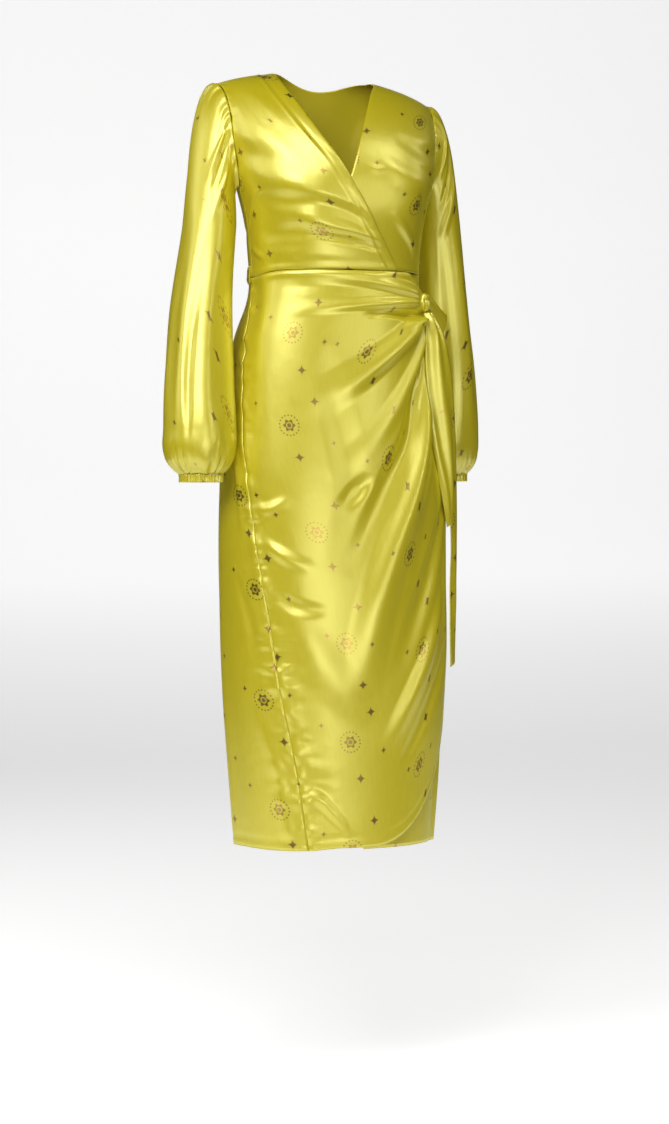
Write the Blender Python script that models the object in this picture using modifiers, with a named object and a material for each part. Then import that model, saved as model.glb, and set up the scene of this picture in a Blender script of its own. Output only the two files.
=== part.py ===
"""Midi wrap dress in satin, in the shape it has when worn, with long gathered sleeves.

Units are metres, and turns round the body are degrees from the front towards the wearer's left.
+Z is up, the front faces -Y and the wearer's right is at -X.
The origin lies on the shoulder line, midway between the shoulders.
"""
import math

import bmesh
import bpy
import numpy as np

# Driving dimensions
WALL = 0.002
TIE_WALL = 0.003
SEAM_GAP = 0.0003
LAYER = WALL + 0.0011
HALF_GAP = SEAM_GAP / 2
SEAM_TURN = 0.07
ARMHOLE_GAP = 0.0009
ARMHOLE_BACK_TURN = 0.3
ARMHOLE_BACK_CLIMB = 0.15
WELD_DISTANCE = 0.00005
EDGE_STRIP = 0.004
SHOULDER_TRIM_START = 0.9
PROBE_TURN = 0.5
PROBE_RISE = 0.0015

UNDERARM_LEVEL = -0.178
WAIST_LEVEL = -0.305
HEM_LEVEL = -1.18
SHOULDER_RISE = 0.0065
SHOULDER_CURVE = 1.05
SHOULDER_SEAM_Y = 0.012
SHOULDER_TILT = 0.07
SQUARENESS = 0.05

BUST_LEVEL = -0.198
BUST_TURN = 36.0
BUST_FULLNESS = 0.007
BUST_SPREAD_UP = 0.045
BUST_SPREAD_ROUND = 19.0

BACK_NECK_SHARE = 0.294
BACK_NECK_DROP = 0.055

KNOT_TURN = 55.0
KNOT_LEVEL = -0.352
KNOT_FRONT_TURN = 49.0
KNOT_SIZE = (0.0115, 0.0095, 0.0145)
KNOT_CELLS = (16, 10)
KNOT_GROOVE = 0.16
KNOT_GROOVE_SLANT = 0.5
KNOT_GROOVE_CENTRE = 1.2
KNOT_GROOVE_POWER = 8
KNOT_STAND_OFF = 0.0006
UNROLL_RADIUS = 0.145
FOLD_START = 0.012
FOLD_FULL = 0.042
FOLD_FADE_POWER = 0.8

BAND_STAND_OFF = 0.0012
BAND_START_TURN = 67.0
BAND_END_TURN = 268.0
BAND_START_LEVEL = -0.345
BAND_END_LEVEL = -0.300
BAND_RISE_SHARE = 0.35
BAND_HALF_WIDTH = 0.013

LAP_RUN_IN = 24.0
LAP_RISE = 14.0
UNDER_SKIRT_START = 32.0
CORNER_TURN_SHARE = 0.354
CORNER_RISE = 0.205
CORNER_POWER = 2.2
OVER_HEM_RAISE = 0.004
OVER_HEM_RAISE_SHARE = 0.2
SEAM_SMOOTH_SHARE = 0.12
KNOT_DRAW_START = 0.83
ROW_POWER = 1.45
KNOT_ROW_POWER = 3.0
SIDE_DIP = 0.008
SIDE_DIP_START = 45.0
SIDE_DIP_SPREAD = 0.06

SLEEVE_HEAD_LEVEL = -0.240
CUFF_TOP_LEVEL = -0.6135
CUFF_HEIGHT = 0.012
SLEEVE_HEAD_SHARE = 0.34
HEAD_REACH_TOP = 0.125
HEAD_REACH_UNDERARM = 0.035
HEAD_RISE_TOP = 0.15
HEAD_RISE_UNDERARM = -0.30
HEAD_ARRIVAL = 0.12
SLEEVE_STEP = 0.01
SLEEVE_ROW_POWER = 1.6
SLEEVE_FOLD_POWER = 0.8
GATHERS = 14
GATHER_DEPTH = 0.0026
GATHER_HEIGHT = 0.075
GATHER_POWER = 1.5

TAIL_SLANT = 0.006
EAR_BOW = 0.004

SATIN = (0.56, 0.50, 0.045)
SATIN_ROUGHNESS = 0.32


def columns(names, *rows):
    """A table as named columns, sorted by its first one."""
    ordered = sorted(rows)
    return {name: np.array([row[place] for row in ordered]) for place, name in enumerate(names)}


def read(table, key, column, at):
    """Reads a column at any value of the key column, on a smooth curve through the rows."""
    keys, values = table[key], table[column]
    slopes = np.gradient(values, keys)
    at = np.clip(at, keys[0], keys[-1])
    below = np.clip(np.searchsorted(keys, at) - 1, 0, len(keys) - 2)
    step = keys[below + 1] - keys[below]
    part = (at - keys[below]) / step
    rise = part * part * (3 - 2 * part)
    leave = part * (1 - part) ** 2 * step
    arrive = part * part * (part - 1) * step
    return (values[below] * (1 - rise) + values[below + 1] * rise
            + slopes[below] * leave + slopes[below + 1] * arrive)


def ease(value):
    """A soft step from 0 to 1."""
    value = np.clip(value, 0, 1)
    return value * value * (3 - 2 * value)


def blend(first, second, share):
    return first + (second - first) * share


# Rings of the worn dress. Above the underarm a level is a share of the climb to the shoulder.
FORM = columns(
    ("level", "centre_x", "centre_y", "half_width", "front_depth", "back_depth"),
    (0.000, -0.005, -0.028, 0.176, 0.112, 0.100),
    (-0.090, -0.005, -0.028, 0.170, 0.116, 0.102),
    (-0.135, -0.004, -0.029, 0.163, 0.121, 0.102),
    (-0.178, -0.003, -0.030, 0.149, 0.125, 0.102),
    (-0.215, -0.002, -0.029, 0.139, 0.124, 0.098),
    (-0.260, -0.001, -0.027, 0.133, 0.114, 0.092),
    (-0.305, 0.000, -0.026, 0.1305, 0.106, 0.089),
    (-0.345, 0.000, -0.025, 0.134, 0.1085, 0.098),
    (-0.405, 0.000, -0.020, 0.149, 0.114, 0.114),
    (-0.500, 0.000, -0.017, 0.1625, 0.120, 0.124),
    (-0.620, 0.000, -0.017, 0.1725, 0.124, 0.127),
    (-0.750, 0.000, -0.018, 0.1755, 0.125, 0.125),
    (-0.850, 0.002, -0.020, 0.1750, 0.124, 0.121),
    (-0.960, 0.002, -0.022, 0.1705, 0.121, 0.118),
    (-1.070, 0.003, -0.022, 0.1620, 0.119, 0.116),
    (-1.180, 0.0035, -0.022, 0.1530, 0.117, 0.116),
)

# The surplice edges of the two fronts, from the shoulder to the waist.
SURPLICE = columns(
    ("level", "over", "under"),
    (0.000, -25.5, 24.0), (-0.035, -29.0, 22.5), (-0.071, -28.5, 15.5), (-0.100, -25.0, 9.5),
    (-0.125, -20.0, 4.0), (-0.150, -13.0, -1.5), (-0.178, -4.0, -8.0), (-0.210, 4.0, -14.5),
    (-0.240, 11.8, -20.5), (-0.270, 20.5, -26.5), (-0.305, 31.0, -34.0),
)

# The armhole, by its climb from the underarm: turns from plumb front and from plumb back.
ARMHOLE = columns(
    ("climb", "front", "back"),
    (0.0, 90.0, 90.0), (0.1, 84.5, 81.0), (0.22, 80.0, 73.5), (0.4, 76.0, 67.0),
    (0.6, 73.0, 64.5), (0.8, 75.0, 69.5), (1.0, 84.0, 84.0),
)

# The right side seam of the skirt, which the pull of the knot swings to the front.
RIGHT_SEAM = columns(
    ("level", "turn"),
    (-0.305, -89.0), (-0.360, -84.0), (-0.436, -76.5), (-0.500, -71.0), (-0.576, -65.0),
    (-0.660, -58.0), (-0.744, -52.0), (-0.830, -47.0), (-0.936, -41.5), (-1.050, -35.0),
    (-1.180, -30.0),
)

# The free edge of the over skirt, from the knot down to the rounded corner.
FREE_EDGE = columns(
    ("level", "turn"),
    (-0.305, 60.0), (-0.352, 55.5), (-0.385, 49.0), (-0.420, 45.5), (-0.480, 42.5),
    (-0.550, 43.5), (-0.604, 49.5), (-0.652, 58.0), (-0.700, 63.5), (-0.800, 67.0),
    (-1.180, 70.0),
)

# Folds of the over skirt that leave the knot: turn from level to plumb, near and far.
KNOT_FOLDS = columns(
    ("near_turn", "far_turn", "reach", "height", "near_width", "far_width", "sharpness"),
    (2.0, 3.0, 0.25, 0.006, 0.008, 0.016, 0.7),
    (22.0, 17.0, 0.16, 0.002, 0.008, 0.020, 0.6),
    (46.0, 37.0, 0.32, 0.012, 0.012, 0.034, 0.45),
    (68.0, 58.0, 0.32, 0.008, 0.010, 0.030, 0.6),
    (82.0, 75.5, 0.70, 0.009, 0.014, 0.056, 0.7),
)

# Soft plumb folds of the back skirt.
BACK_FOLDS = columns(
    ("turn", "top", "height", "width"),
    (128.0, -0.62, 0.005, 15.0), (163.0, -0.70, 0.004, 13.0), (197.0, -0.60, 0.006, 16.0),
    (231.0, -0.72, 0.004, 13.0), (266.0, -0.64, 0.005, 15.0),
)

# Rings of the two sleeves, down the arm. The right one hangs a little forward.
SLEEVE_COLUMNS = ("level", "right_x", "right_y", "left_x", "left_y", "half_width", "half_depth")
SLEEVE = columns(
    SLEEVE_COLUMNS,
    (-0.200, -0.1910, -0.004, 0.181, 0.010, 0.0400, 0.047),
    (-0.240, -0.1965, -0.008, 0.186, 0.013, 0.0405, 0.048),
    (-0.380, -0.2150, -0.025, 0.2025, 0.030, 0.0470, 0.052),
    (-0.478, -0.2220, -0.040, 0.2145, 0.050, 0.0530, 0.056),
    (-0.544, -0.2240, -0.050, 0.2190, 0.058, 0.0550, 0.058),
    (-0.578, -0.2252, -0.052, 0.2190, 0.059, 0.0550, 0.056),
    (-0.596, -0.2248, -0.053, 0.2210, 0.060, 0.0500, 0.050),
    (-0.607, -0.2242, -0.054, 0.2225, 0.060, 0.0420, 0.042),
    (-0.6135, -0.2237, -0.055, 0.2240, 0.060, 0.0345, 0.0335),
    (-0.6300, -0.2235, -0.055, 0.2245, 0.060, 0.0330, 0.0320),
)

# Long hollows down each sleeve: place round the arm from its outer side, where they run, depth.
SLEEVE_FOLDS = columns(
    ("around", "top", "bottom", "depth", "width"),
    (28.0, -0.30, -0.57, 0.006, 15.0), (62.0, -0.22, -0.55, 0.008, 14.0),
    (100.0, -0.33, -0.58, 0.007, 16.0), (150.0, -0.28, -0.56, 0.005, 18.0),
    (215.0, -0.30, -0.57, 0.006, 17.0), (262.0, -0.24, -0.56, 0.007, 15.0),
    (318.0, -0.31, -0.58, 0.006, 16.0),
)

# The two free ends of the tie, down from the knot, with the turn of their width.
TAIL_COLUMNS = ("level", "x", "y", "half_width", "facing", "cup")
TAIL_FRONT = columns(
    TAIL_COLUMNS,
    (-0.3654, 0.1240, -0.1085, 0.0080, 30.0, 0.0010),
    (-0.3760, 0.1268, -0.1100, 0.0105, 30.0, 0.0025),
    (-0.3900, 0.1310, -0.1105, 0.0160, 30.0, 0.0035),
    (-0.4450, 0.1410, -0.1042, 0.0250, 27.0, 0.0050),
    (-0.5100, 0.1480, -0.0990, 0.0258, 24.0, 0.0060),
    (-0.5800, 0.1559, -0.0956, 0.0215, 28.0, 0.0050),
    (-0.6400, 0.1627, -0.0909, 0.0146, 40.0, 0.0035),
    (-0.6900, 0.1698, -0.0822, 0.0090, 50.0, 0.0020),
)
TAIL_BACK = columns(
    TAIL_COLUMNS,
    (-0.3620, 0.1301, -0.0940, 0.0060, 50.0, 0.0010),
    (-0.3800, 0.1431, -0.0810, 0.0085, 54.0, 0.0025),
    (-0.4200, 0.1620, -0.0650, 0.0140, 62.0, 0.0030),
    (-0.5000, 0.1780, -0.0500, 0.0190, 72.0, 0.0040),
    (-0.6200, 0.1862, -0.0450, 0.0210, 76.0, 0.0040),
    (-0.7600, 0.1872, -0.0450, 0.0220, 78.0, 0.0040),
    (-0.9080, 0.1872, -0.0460, 0.0220, 76.0, 0.0030),
)

# The turned flap of the knot, out from the knot to its tip.
EAR = columns(
    ("along", "x", "y", "z", "half_width"),
    (0.0, 0.1283, -0.1014, -0.3490, 0.0095), (0.4, 0.1430, -0.0925, -0.3590, 0.0150),
    (0.8, 0.1575, -0.0830, -0.3760, 0.0190), (1.0, 0.1641, -0.0780, -0.3860, 0.0205),
)
EAR_LEAN = (-0.22, 0.02, -0.97)

# The cut of each piece: cells across and along its grid, and its size there.
CUT = {
    "bodice_front_over": (16, 13, 0.20, 0.33),
    "bodice_front_under": (14, 13, 0.20, 0.33),
    "bodice_back": (22, 12, 0.42, 0.33),
    "skirt_front_over": (32, 24, 0.38, 0.88),
    "skirt_front_under": (13, 24, 0.32, 0.88),
    "skirt_back": (20, 24, 0.50, 0.88),
    "sleeve_right": (36, 14, 0.33, 0.60),
    "sleeve_left": (36, 14, 0.33, 0.60),
    "cuff_right": (36, 2, 0.20, 0.02),
    "cuff_left": (36, 2, 0.20, 0.02),
    "tie_back": (22, 3, 0.45, 0.026),
    "tie_tail_front": (5, 14, 0.05, 0.33),
    "tie_tail_back": (5, 15, 0.045, 0.55),
    "tie_ear": (6, 5, 0.04, 0.05),
}


def form(turn, level):
    """A point on the inside of the worn dress, at a turn round the body and a level."""
    turn, level = np.broadcast_arrays(np.asarray(turn, float), np.asarray(level, float))
    climb = np.clip(1 - level / UNDERARM_LEVEL, 0, 1)
    rise, fall = np.sin(climb * math.pi / 2), np.cos(climb * math.pi / 2)
    sine, cosine = np.sin(np.radians(turn)), np.cos(np.radians(turn))
    square = 1 + SQUARENESS * np.sin(2 * np.radians(turn)) ** 2
    depth = np.where(cosine > 0, read(FORM, "level", "front_depth", level),
                     read(FORM, "level", "back_depth", level))
    wrapped = (turn + 180) % 360 - 180
    bust = (np.exp(-((np.abs(wrapped) - BUST_TURN) / BUST_SPREAD_ROUND) ** 2)
            * np.exp(-((level - BUST_LEVEL) / BUST_SPREAD_UP) ** 2))
    x = read(FORM, "level", "centre_x", level)
    x = x + read(FORM, "level", "half_width", level) * sine * square
    y = read(FORM, "level", "centre_y", level) - depth * cosine * square
    y = y - BUST_FULLNESS * bust * (cosine > 0)
    y = SHOULDER_SEAM_Y + (y - SHOULDER_SEAM_Y) * fall
    top = SHOULDER_RISE - SHOULDER_CURVE * x * x
    z = np.where(climb > 0, UNDERARM_LEVEL + rise * (top - UNDERARM_LEVEL), level)
    z = z - SHOULDER_TILT * x * ease((level - WAIST_LEVEL) / -WAIST_LEVEL)
    z = z - (SIDE_DIP * ease((np.abs(wrapped) - SIDE_DIP_START) / SIDE_DIP_START)
             * np.exp(-((level - WAIST_LEVEL) / SIDE_DIP_SPREAD) ** 2))
    return np.stack([x, y, z], axis=-1)


def outward(turn, level):
    """The direction that points out of the cloth there."""
    upper = np.minimum(level + PROBE_RISE, 0)
    lower = upper - 2 * PROBE_RISE
    middle = (upper + lower) / 2
    across = form(turn + PROBE_TURN, middle) - form(turn - PROBE_TURN, middle)
    upward = form(turn, upper) - form(turn, lower)
    normal = np.cross(across, upward)
    return normal / np.linalg.norm(normal, axis=-1, keepdims=True)


def raised(turn, level, height):
    """A point that lies above the worn form by a height."""
    return form(turn, level) + outward(turn, level) * np.asarray(height)[..., None]


def armhole_turn(level, half):
    """The outer edge of a front or back: the side seam, and above it the armhole."""
    return read(ARMHOLE, "climb", half, np.clip(1 - level / UNDERARM_LEVEL, 0, 1))


def over_lift(turn, under_edge):
    """How far an over panel lies above the form, where an under panel comes below it."""
    return LAYER * ease((turn - under_edge + LAP_RUN_IN) / LAP_RISE)


def skirt_level(hem, top, up, power=ROW_POWER):
    """Rows of the skirt, closer together near the waist."""
    return blend(hem, top, 1 - (1 - up) ** power)


def bodice_over(across, up):
    level = blend(WAIST_LEVEL + HALF_GAP, 0, up)
    surplice = read(SURPLICE, "level", "over", level)
    turn = blend(SEAM_TURN - armhole_turn(level, "front"), surplice, across)
    height = over_lift(turn, read(SURPLICE, "level", "under", level))
    return trimmed(raised(turn, level, height), up, -HALF_GAP)


def bodice_under(across, up):
    level = blend(WAIST_LEVEL + HALF_GAP, 0, up)
    surplice = read(SURPLICE, "level", "under", level)
    turn = blend(surplice, armhole_turn(level, "front") - SEAM_TURN, across)
    return trimmed(form(turn, level), up, -HALF_GAP)


def bodice_back(across, up):
    side = np.abs(2 * across - 1)
    neck = np.sqrt(1 - np.minimum(side / BACK_NECK_SHARE, 1) ** 2)
    level = blend(WAIST_LEVEL + HALF_GAP, -BACK_NECK_DROP * neck, up)
    edge = armhole_turn(level, "back") - SEAM_TURN
    turn = blend(180 - edge, 180 + edge, across)
    return trimmed(form(turn, level), up, HALF_GAP)


def trimmed(points, up, shift):
    """Draws the shoulder edge back from the shoulder seam."""
    points = points.copy()
    points[..., 1] += shift * ease((up - SHOULDER_TRIM_START) / (1 - SHOULDER_TRIM_START))
    return points


def knot_folds(turn, level):
    """Height of the folds that leave the knot, in the skirt laid out flat."""
    right = np.radians(KNOT_TURN - turn) * UNROLL_RADIUS
    down = KNOT_LEVEL - level
    away = np.hypot(right, down)
    heading = np.degrees(np.arctan2(down, right))
    height = np.zeros_like(away)
    for near, far, reach, top, near_width, far_width, sharpness in zip(*KNOT_FOLDS.values()):
        share = np.clip(away / reach, 0, 1)
        offset = away * np.radians(heading - blend(near, far, share))
        width = blend(near_width, far_width, share)
        width = np.where(offset > 0, width * sharpness, width)
        swell = ease((away - FOLD_START) / (FOLD_FULL - FOLD_START))
        swell = swell * (1 - ease(share)) ** FOLD_FADE_POWER
        height += top * swell * ease(1 - np.abs(offset) / width)
    return height


def skirt_over(across, up):
    corner = np.clip((across - CORNER_TURN_SHARE) / (1 - CORNER_TURN_SHARE), 0, 1)
    hem = HEM_LEVEL + OVER_HEM_RAISE * ease(across / OVER_HEM_RAISE_SHARE)
    hem = hem + CORNER_RISE * corner ** CORNER_POWER
    drawn = ease((across - KNOT_DRAW_START) / (1 - KNOT_DRAW_START))
    top = blend(WAIST_LEVEL - HALF_GAP, KNOT_LEVEL, drawn)
    level = skirt_level(hem, top, up, blend(ROW_POWER, KNOT_ROW_POWER, across))
    seam = read(RIGHT_SEAM, "level", "turn", level)
    turn = blend(seam + SEAM_TURN, read(FREE_EDGE, "level", "turn", level), across)
    folds = knot_folds(turn, level) * ease(across / SEAM_SMOOTH_SHARE)
    return raised(turn, level, over_lift(turn, seam + UNDER_SKIRT_START) + folds)


def skirt_under(across, up):
    level = skirt_level(HEM_LEVEL, WAIST_LEVEL - HALF_GAP, up)
    start = read(RIGHT_SEAM, "level", "turn", level) + UNDER_SKIRT_START
    return form(blend(start, 90 - SEAM_TURN, across), level)


def skirt_back(across, up):
    level = skirt_level(HEM_LEVEL, WAIST_LEVEL - HALF_GAP, up)
    seam = 360 + read(RIGHT_SEAM, "level", "turn", level)
    turn = blend(90 + SEAM_TURN, seam - SEAM_TURN, across)
    height = np.zeros_like(turn)
    for middle, top, depth, width in zip(*BACK_FOLDS.values()):
        swell = ease((top - level) / (top - HEM_LEVEL))
        height += depth * swell * ease(1 - np.abs(turn - middle) / width)
    return raised(turn, level, height)


def sleeve_ring(side, around, level):
    """A point on the outside of a sleeve: around is 0 on its outer side and 90 in front."""
    name = "right" if side < 0 else "left"
    cosine, sine = np.cos(np.radians(around)), np.sin(np.radians(around))
    hollow = np.zeros_like(level + around)
    for middle, top, bottom, depth, width in zip(*SLEEVE_FOLDS.values()):
        distance = np.abs((around - middle + 180) % 360 - 180)
        length = np.clip((top - level) / (top - bottom), 0, 1)
        swell = np.sin(math.pi * length) ** SLEEVE_FOLD_POWER
        hollow += depth * swell * ease(1 - distance / width)
    near_cuff = 1 - np.clip((level - CUFF_TOP_LEVEL) / GATHER_HEIGHT, 0, 1)
    wave = (1 + np.cos(np.radians(around) * GATHERS)) / 2
    hollow += GATHER_DEPTH * near_cuff ** GATHER_POWER * wave
    half_width = read(SLEEVE, "level", "half_width", level) - hollow
    half_depth = read(SLEEVE, "level", "half_depth", level) - hollow
    x = read(SLEEVE, "level", name + "_x", level) + side * half_width * cosine
    y = read(SLEEVE, "level", name + "_y", level) - half_depth * sine
    return np.stack([x, y, level + 0 * x], axis=-1)


def armhole_point(side, around):
    """A point of the sleeve's seam round the armhole, from the shoulder down the front."""
    climb = np.abs(1 - (around % 360) / 180)
    level = UNDERARM_LEVEL * (1 - climb)
    front = read(ARMHOLE, "climb", "front", climb)
    back = 180 - read(ARMHOLE, "climb", "back", climb)
    back = back - ARMHOLE_BACK_TURN * ease(climb / ARMHOLE_BACK_CLIMB)
    turn = side * np.where(around % 360 < 180, front, back)
    point = raised(turn, level, np.full_like(turn, WALL))
    point[..., 0] += side * ARMHOLE_GAP
    return point


def sleeve(side):
    def place(across, down):
        around = 360 * across * side
        head = np.clip(down / SLEEVE_HEAD_SHARE, 0, 1)
        seam = armhole_point(side, around)
        first = sleeve_ring(side, around, np.full_like(around, SLEEVE_HEAD_LEVEL))
        lower = np.full_like(around, SLEEVE_HEAD_LEVEL - SLEEVE_STEP)
        second = sleeve_ring(side, around, lower)
        top = (1 + np.cos(np.radians(around))) / 2
        reach = blend(HEAD_REACH_UNDERARM, HEAD_REACH_TOP, top)
        rise = blend(HEAD_RISE_UNDERARM, HEAD_RISE_TOP, top)
        leave = np.stack([side * reach, 0 * reach, rise * reach], axis=-1)
        arrive = (second - first) * HEAD_ARRIVAL / SLEEVE_STEP
        share = head[..., None]
        turned = (seam * (1 - 3 * share ** 2 + 2 * share ** 3)
                  + leave * (share - 2 * share ** 2 + share ** 3)
                  + first * (3 * share ** 2 - 2 * share ** 3)
                  + arrive * (share ** 3 - share ** 2))
        length = np.clip((down - SLEEVE_HEAD_SHARE) / (1 - SLEEVE_HEAD_SHARE), 0, 1)
        level = blend(SLEEVE_HEAD_LEVEL, CUFF_TOP_LEVEL, 1 - (1 - length) ** SLEEVE_ROW_POWER)
        hanging = sleeve_ring(side, around, level)
        return np.where((down < SLEEVE_HEAD_SHARE)[..., None], turned, hanging)
    return place


def cuff(side):
    def place(across, down):
        level = CUFF_TOP_LEVEL - SEAM_GAP - down * CUFF_HEIGHT
        return sleeve_ring(side, 360 * across * side, level)
    return place


def tail(table):
    def place(across, up):
        level = blend(table["level"][0], table["level"][-1], up)
        facing = np.radians(read(table, "level", "facing", level))
        span = 2 * across - 1
        width = span * read(table, "level", "half_width", level)
        bow = read(table, "level", "cup", level) * (1 - span * span)
        x = read(table, "level", "x", level) + width * np.cos(facing) + bow * np.sin(facing)
        y = read(table, "level", "y", level) + width * np.sin(facing) - bow * np.cos(facing)
        slant = TAIL_SLANT * span * (1 - up)
        return np.stack([x, y, level + slant], axis=-1)
    return place


def ear(across, along):
    span = 2 * across - 1
    width = span * read(EAR, "along", "half_width", along)
    bow = EAR_BOW * (1 - span * span)
    x = read(EAR, "along", "x", along) + width * EAR_LEAN[0]
    y = read(EAR, "along", "y", along) + width * EAR_LEAN[1] - bow
    z = read(EAR, "along", "z", along) + width * EAR_LEAN[2]
    return np.stack([x, y, z], axis=-1)


def tie_band(across, up):
    """The tie from the right side seam round the back to the knot."""
    turn = blend(BAND_START_TURN, BAND_END_TURN, across)
    middle = blend(BAND_START_LEVEL, BAND_END_LEVEL, ease(across / BAND_RISE_SHARE))
    level = middle + BAND_HALF_WIDTH * (2 * up - 1)
    return raised(turn, level, np.full_like(turn, WALL + BAND_STAND_OFF))


def satin(name):
    material = bpy.data.materials.new(name + "_satin")
    material.use_nodes = True
    shader = material.node_tree.nodes["Principled BSDF"]
    shader.inputs["Base Color"].default_value = (*SATIN, 1)
    shader.inputs["Roughness"].default_value = SATIN_ROUGHNESS
    shader.inputs["Metallic"].default_value = 0.0
    return material


def strip_edges(share, cells, length):
    """Narrows the first and last cell to a strip, so that a seam's edge is square to the cloth."""
    cell, strip = 1 / cells, EDGE_STRIP / length
    return np.interp(share, (0, cell, 1 - cell, 1), (0, strip, 1 - strip, 1))


def cloth(name, place, offset=1.0, thickness=WALL, tube=False, split="FIXED"):
    """Bends a flat grid onto the surface that place() gives, and makes it a wall."""
    cells_across, cells_along, width, length = CUT[name]
    sheet = bmesh.new()
    bmesh.ops.create_grid(sheet, x_segments=cells_across, y_segments=cells_along, size=0.5)
    flat = np.array([corner.co[:2] for corner in sheet.verts]) + 0.5
    across = flat[:, 0] if tube else strip_edges(flat[:, 0], cells_across, width)
    points = place(across, strip_edges(flat[:, 1], cells_along, length))
    for corner, point in zip(sheet.verts, points):
        corner.co = point
    if tube:
        bmesh.ops.remove_doubles(sheet, verts=sheet.verts, dist=WELD_DISTANCE)
    bmesh.ops.triangulate(sheet, faces=sheet.faces, quad_method=split)
    mesh = bpy.data.meshes.new(name)
    sheet.to_mesh(mesh)
    sheet.free()
    mesh.shade_smooth()
    piece = add_piece(name, mesh)
    wall = piece.modifiers.new("wall", "SOLIDIFY")
    wall.thickness = thickness
    wall.offset = offset
    return piece


def add_piece(name, mesh):
    mesh.materials.append(satin(name))
    piece = bpy.data.objects.new(name, mesh)
    dress.objects.link(piece)
    return piece


def knot():
    """A small bundle with two grooves, where one end of the tie passes over the other."""
    ball = bmesh.new()
    bmesh.ops.create_uvsphere(ball, u_segments=KNOT_CELLS[0], v_segments=KNOT_CELLS[1], radius=1)
    turn = np.array(KNOT_FRONT_TURN)
    level = np.array(KNOT_LEVEL)
    middle = raised(turn, level, LAYER + WALL + KNOT_STAND_OFF + KNOT_SIZE[1])
    out = outward(turn, level)
    side = np.cross(out, (0, 0, 1))
    side = side / np.linalg.norm(side)
    upward = np.cross(side, out)
    for corner in ball.verts:
        x, y, z = corner.co
        slope = math.atan2(z + KNOT_GROOVE_SLANT * x, y + KNOT_GROOVE_CENTRE)
        groove = 1 - KNOT_GROOVE * max(0, math.cos(2 * slope)) ** KNOT_GROOVE_POWER
        size = [part * groove for part in KNOT_SIZE]
        corner.co = middle + side * x * size[0] + out * y * size[1] + upward * z * size[2]
    bmesh.ops.recalc_face_normals(ball, faces=ball.faces)
    mesh = bpy.data.meshes.new("tie_knot")
    ball.to_mesh(mesh)
    ball.free()
    mesh.shade_smooth()
    add_piece("tie_knot", mesh)


for leftover in list(bpy.data.objects):
    bpy.data.objects.remove(leftover, do_unlink=True)
dress = bpy.data.collections.new("wrap_dress")
bpy.context.scene.collection.children.link(dress)

cloth("bodice_front_over", bodice_over)
cloth("bodice_front_under", bodice_under)
cloth("bodice_back", bodice_back, split="SHORT_EDGE")
cloth("skirt_front_over", skirt_over)
cloth("skirt_front_under", skirt_under)
cloth("skirt_back", skirt_back)
for side, name in ((-1, "right"), (1, "left")):
    cloth("sleeve_" + name, sleeve(side), offset=-1.0, tube=True)
    cloth("cuff_" + name, cuff(side), offset=-1.0, tube=True)
cloth("tie_back", tie_band, thickness=TIE_WALL)
cloth("tie_tail_front", tail(TAIL_FRONT), offset=0.0, thickness=TIE_WALL)
cloth("tie_tail_back", tail(TAIL_BACK), offset=0.0, thickness=TIE_WALL)
cloth("tie_ear", ear, offset=0.0, thickness=TIE_WALL)
knot()
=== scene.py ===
import math

import bpy
import numpy as np
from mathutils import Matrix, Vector


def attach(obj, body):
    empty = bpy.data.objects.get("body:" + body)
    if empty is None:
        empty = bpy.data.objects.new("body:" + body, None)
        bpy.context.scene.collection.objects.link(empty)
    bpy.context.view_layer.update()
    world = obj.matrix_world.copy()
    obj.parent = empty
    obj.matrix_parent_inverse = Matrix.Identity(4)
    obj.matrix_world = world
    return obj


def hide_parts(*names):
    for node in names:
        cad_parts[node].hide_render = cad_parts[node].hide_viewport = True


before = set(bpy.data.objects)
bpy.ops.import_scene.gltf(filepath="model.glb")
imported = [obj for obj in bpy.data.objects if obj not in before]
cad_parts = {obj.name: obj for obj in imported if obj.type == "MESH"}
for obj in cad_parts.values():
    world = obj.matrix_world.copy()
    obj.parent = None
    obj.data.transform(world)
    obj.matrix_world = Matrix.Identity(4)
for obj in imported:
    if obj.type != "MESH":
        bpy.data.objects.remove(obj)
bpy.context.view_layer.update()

# ------------------------------
# Bodice, right front. One piece of satin with a bust dart, faced along its sloping edge and
# lapped over the left front. It is sewn in at the shoulder, armhole, side and waist. Like
# every panel it lies on rings round the body: turn is degrees from the front to the left.
UNDERARM_LEVEL = -0.178
WAIST_LEVEL = -0.305
SHOULDER_RISE, SHOULDER_CURVE, SHOULDER_SEAM_Y, SHOULDER_TILT = 0.0065, 1.05, 0.012, 0.07
SQUARENESS = 0.05
BUST_LEVEL, BUST_TURN, BUST_FULLNESS = -0.198, 36.0, 0.007
BUST_SPREAD_UP, BUST_SPREAD_ROUND = 0.045, 19.0
SIDE_DIP, SIDE_DIP_START, SIDE_DIP_SPREAD = 0.008, 45.0, 0.06
PROBE_TURN, PROBE_RISE = 0.5, 0.0015
UNROLL_RADIUS = 0.145
SEAM_GAP = 0.0003

SATIN_WALL = 0.0011
OUTER_FACE = 0.0020
OVERLAP = 0.0022
LAP_RUN_IN, LAP_RISE = 24.0, 14.0


def columns(names, *rows):
    """A table as named columns, sorted by its first one."""
    ordered = sorted(rows)
    return {name: np.array([row[place] for row in ordered]) for place, name in enumerate(names)}


def read(table, column, at):
    """Reads a column at any value of the first one, on a smooth curve through the rows."""
    keys, values = next(iter(table.values())), table[column]
    slopes = np.gradient(values, keys)
    at = np.clip(at, keys[0], keys[-1])
    below = np.clip(np.searchsorted(keys, at) - 1, 0, len(keys) - 2)
    step = keys[below + 1] - keys[below]
    part = (at - keys[below]) / step
    rise = part * part * (3 - 2 * part)
    leave = part * (1 - part) ** 2 * step
    arrive = part * part * (part - 1) * step
    return (values[below] * (1 - rise) + values[below + 1] * rise
            + slopes[below] * leave + slopes[below + 1] * arrive)


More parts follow.
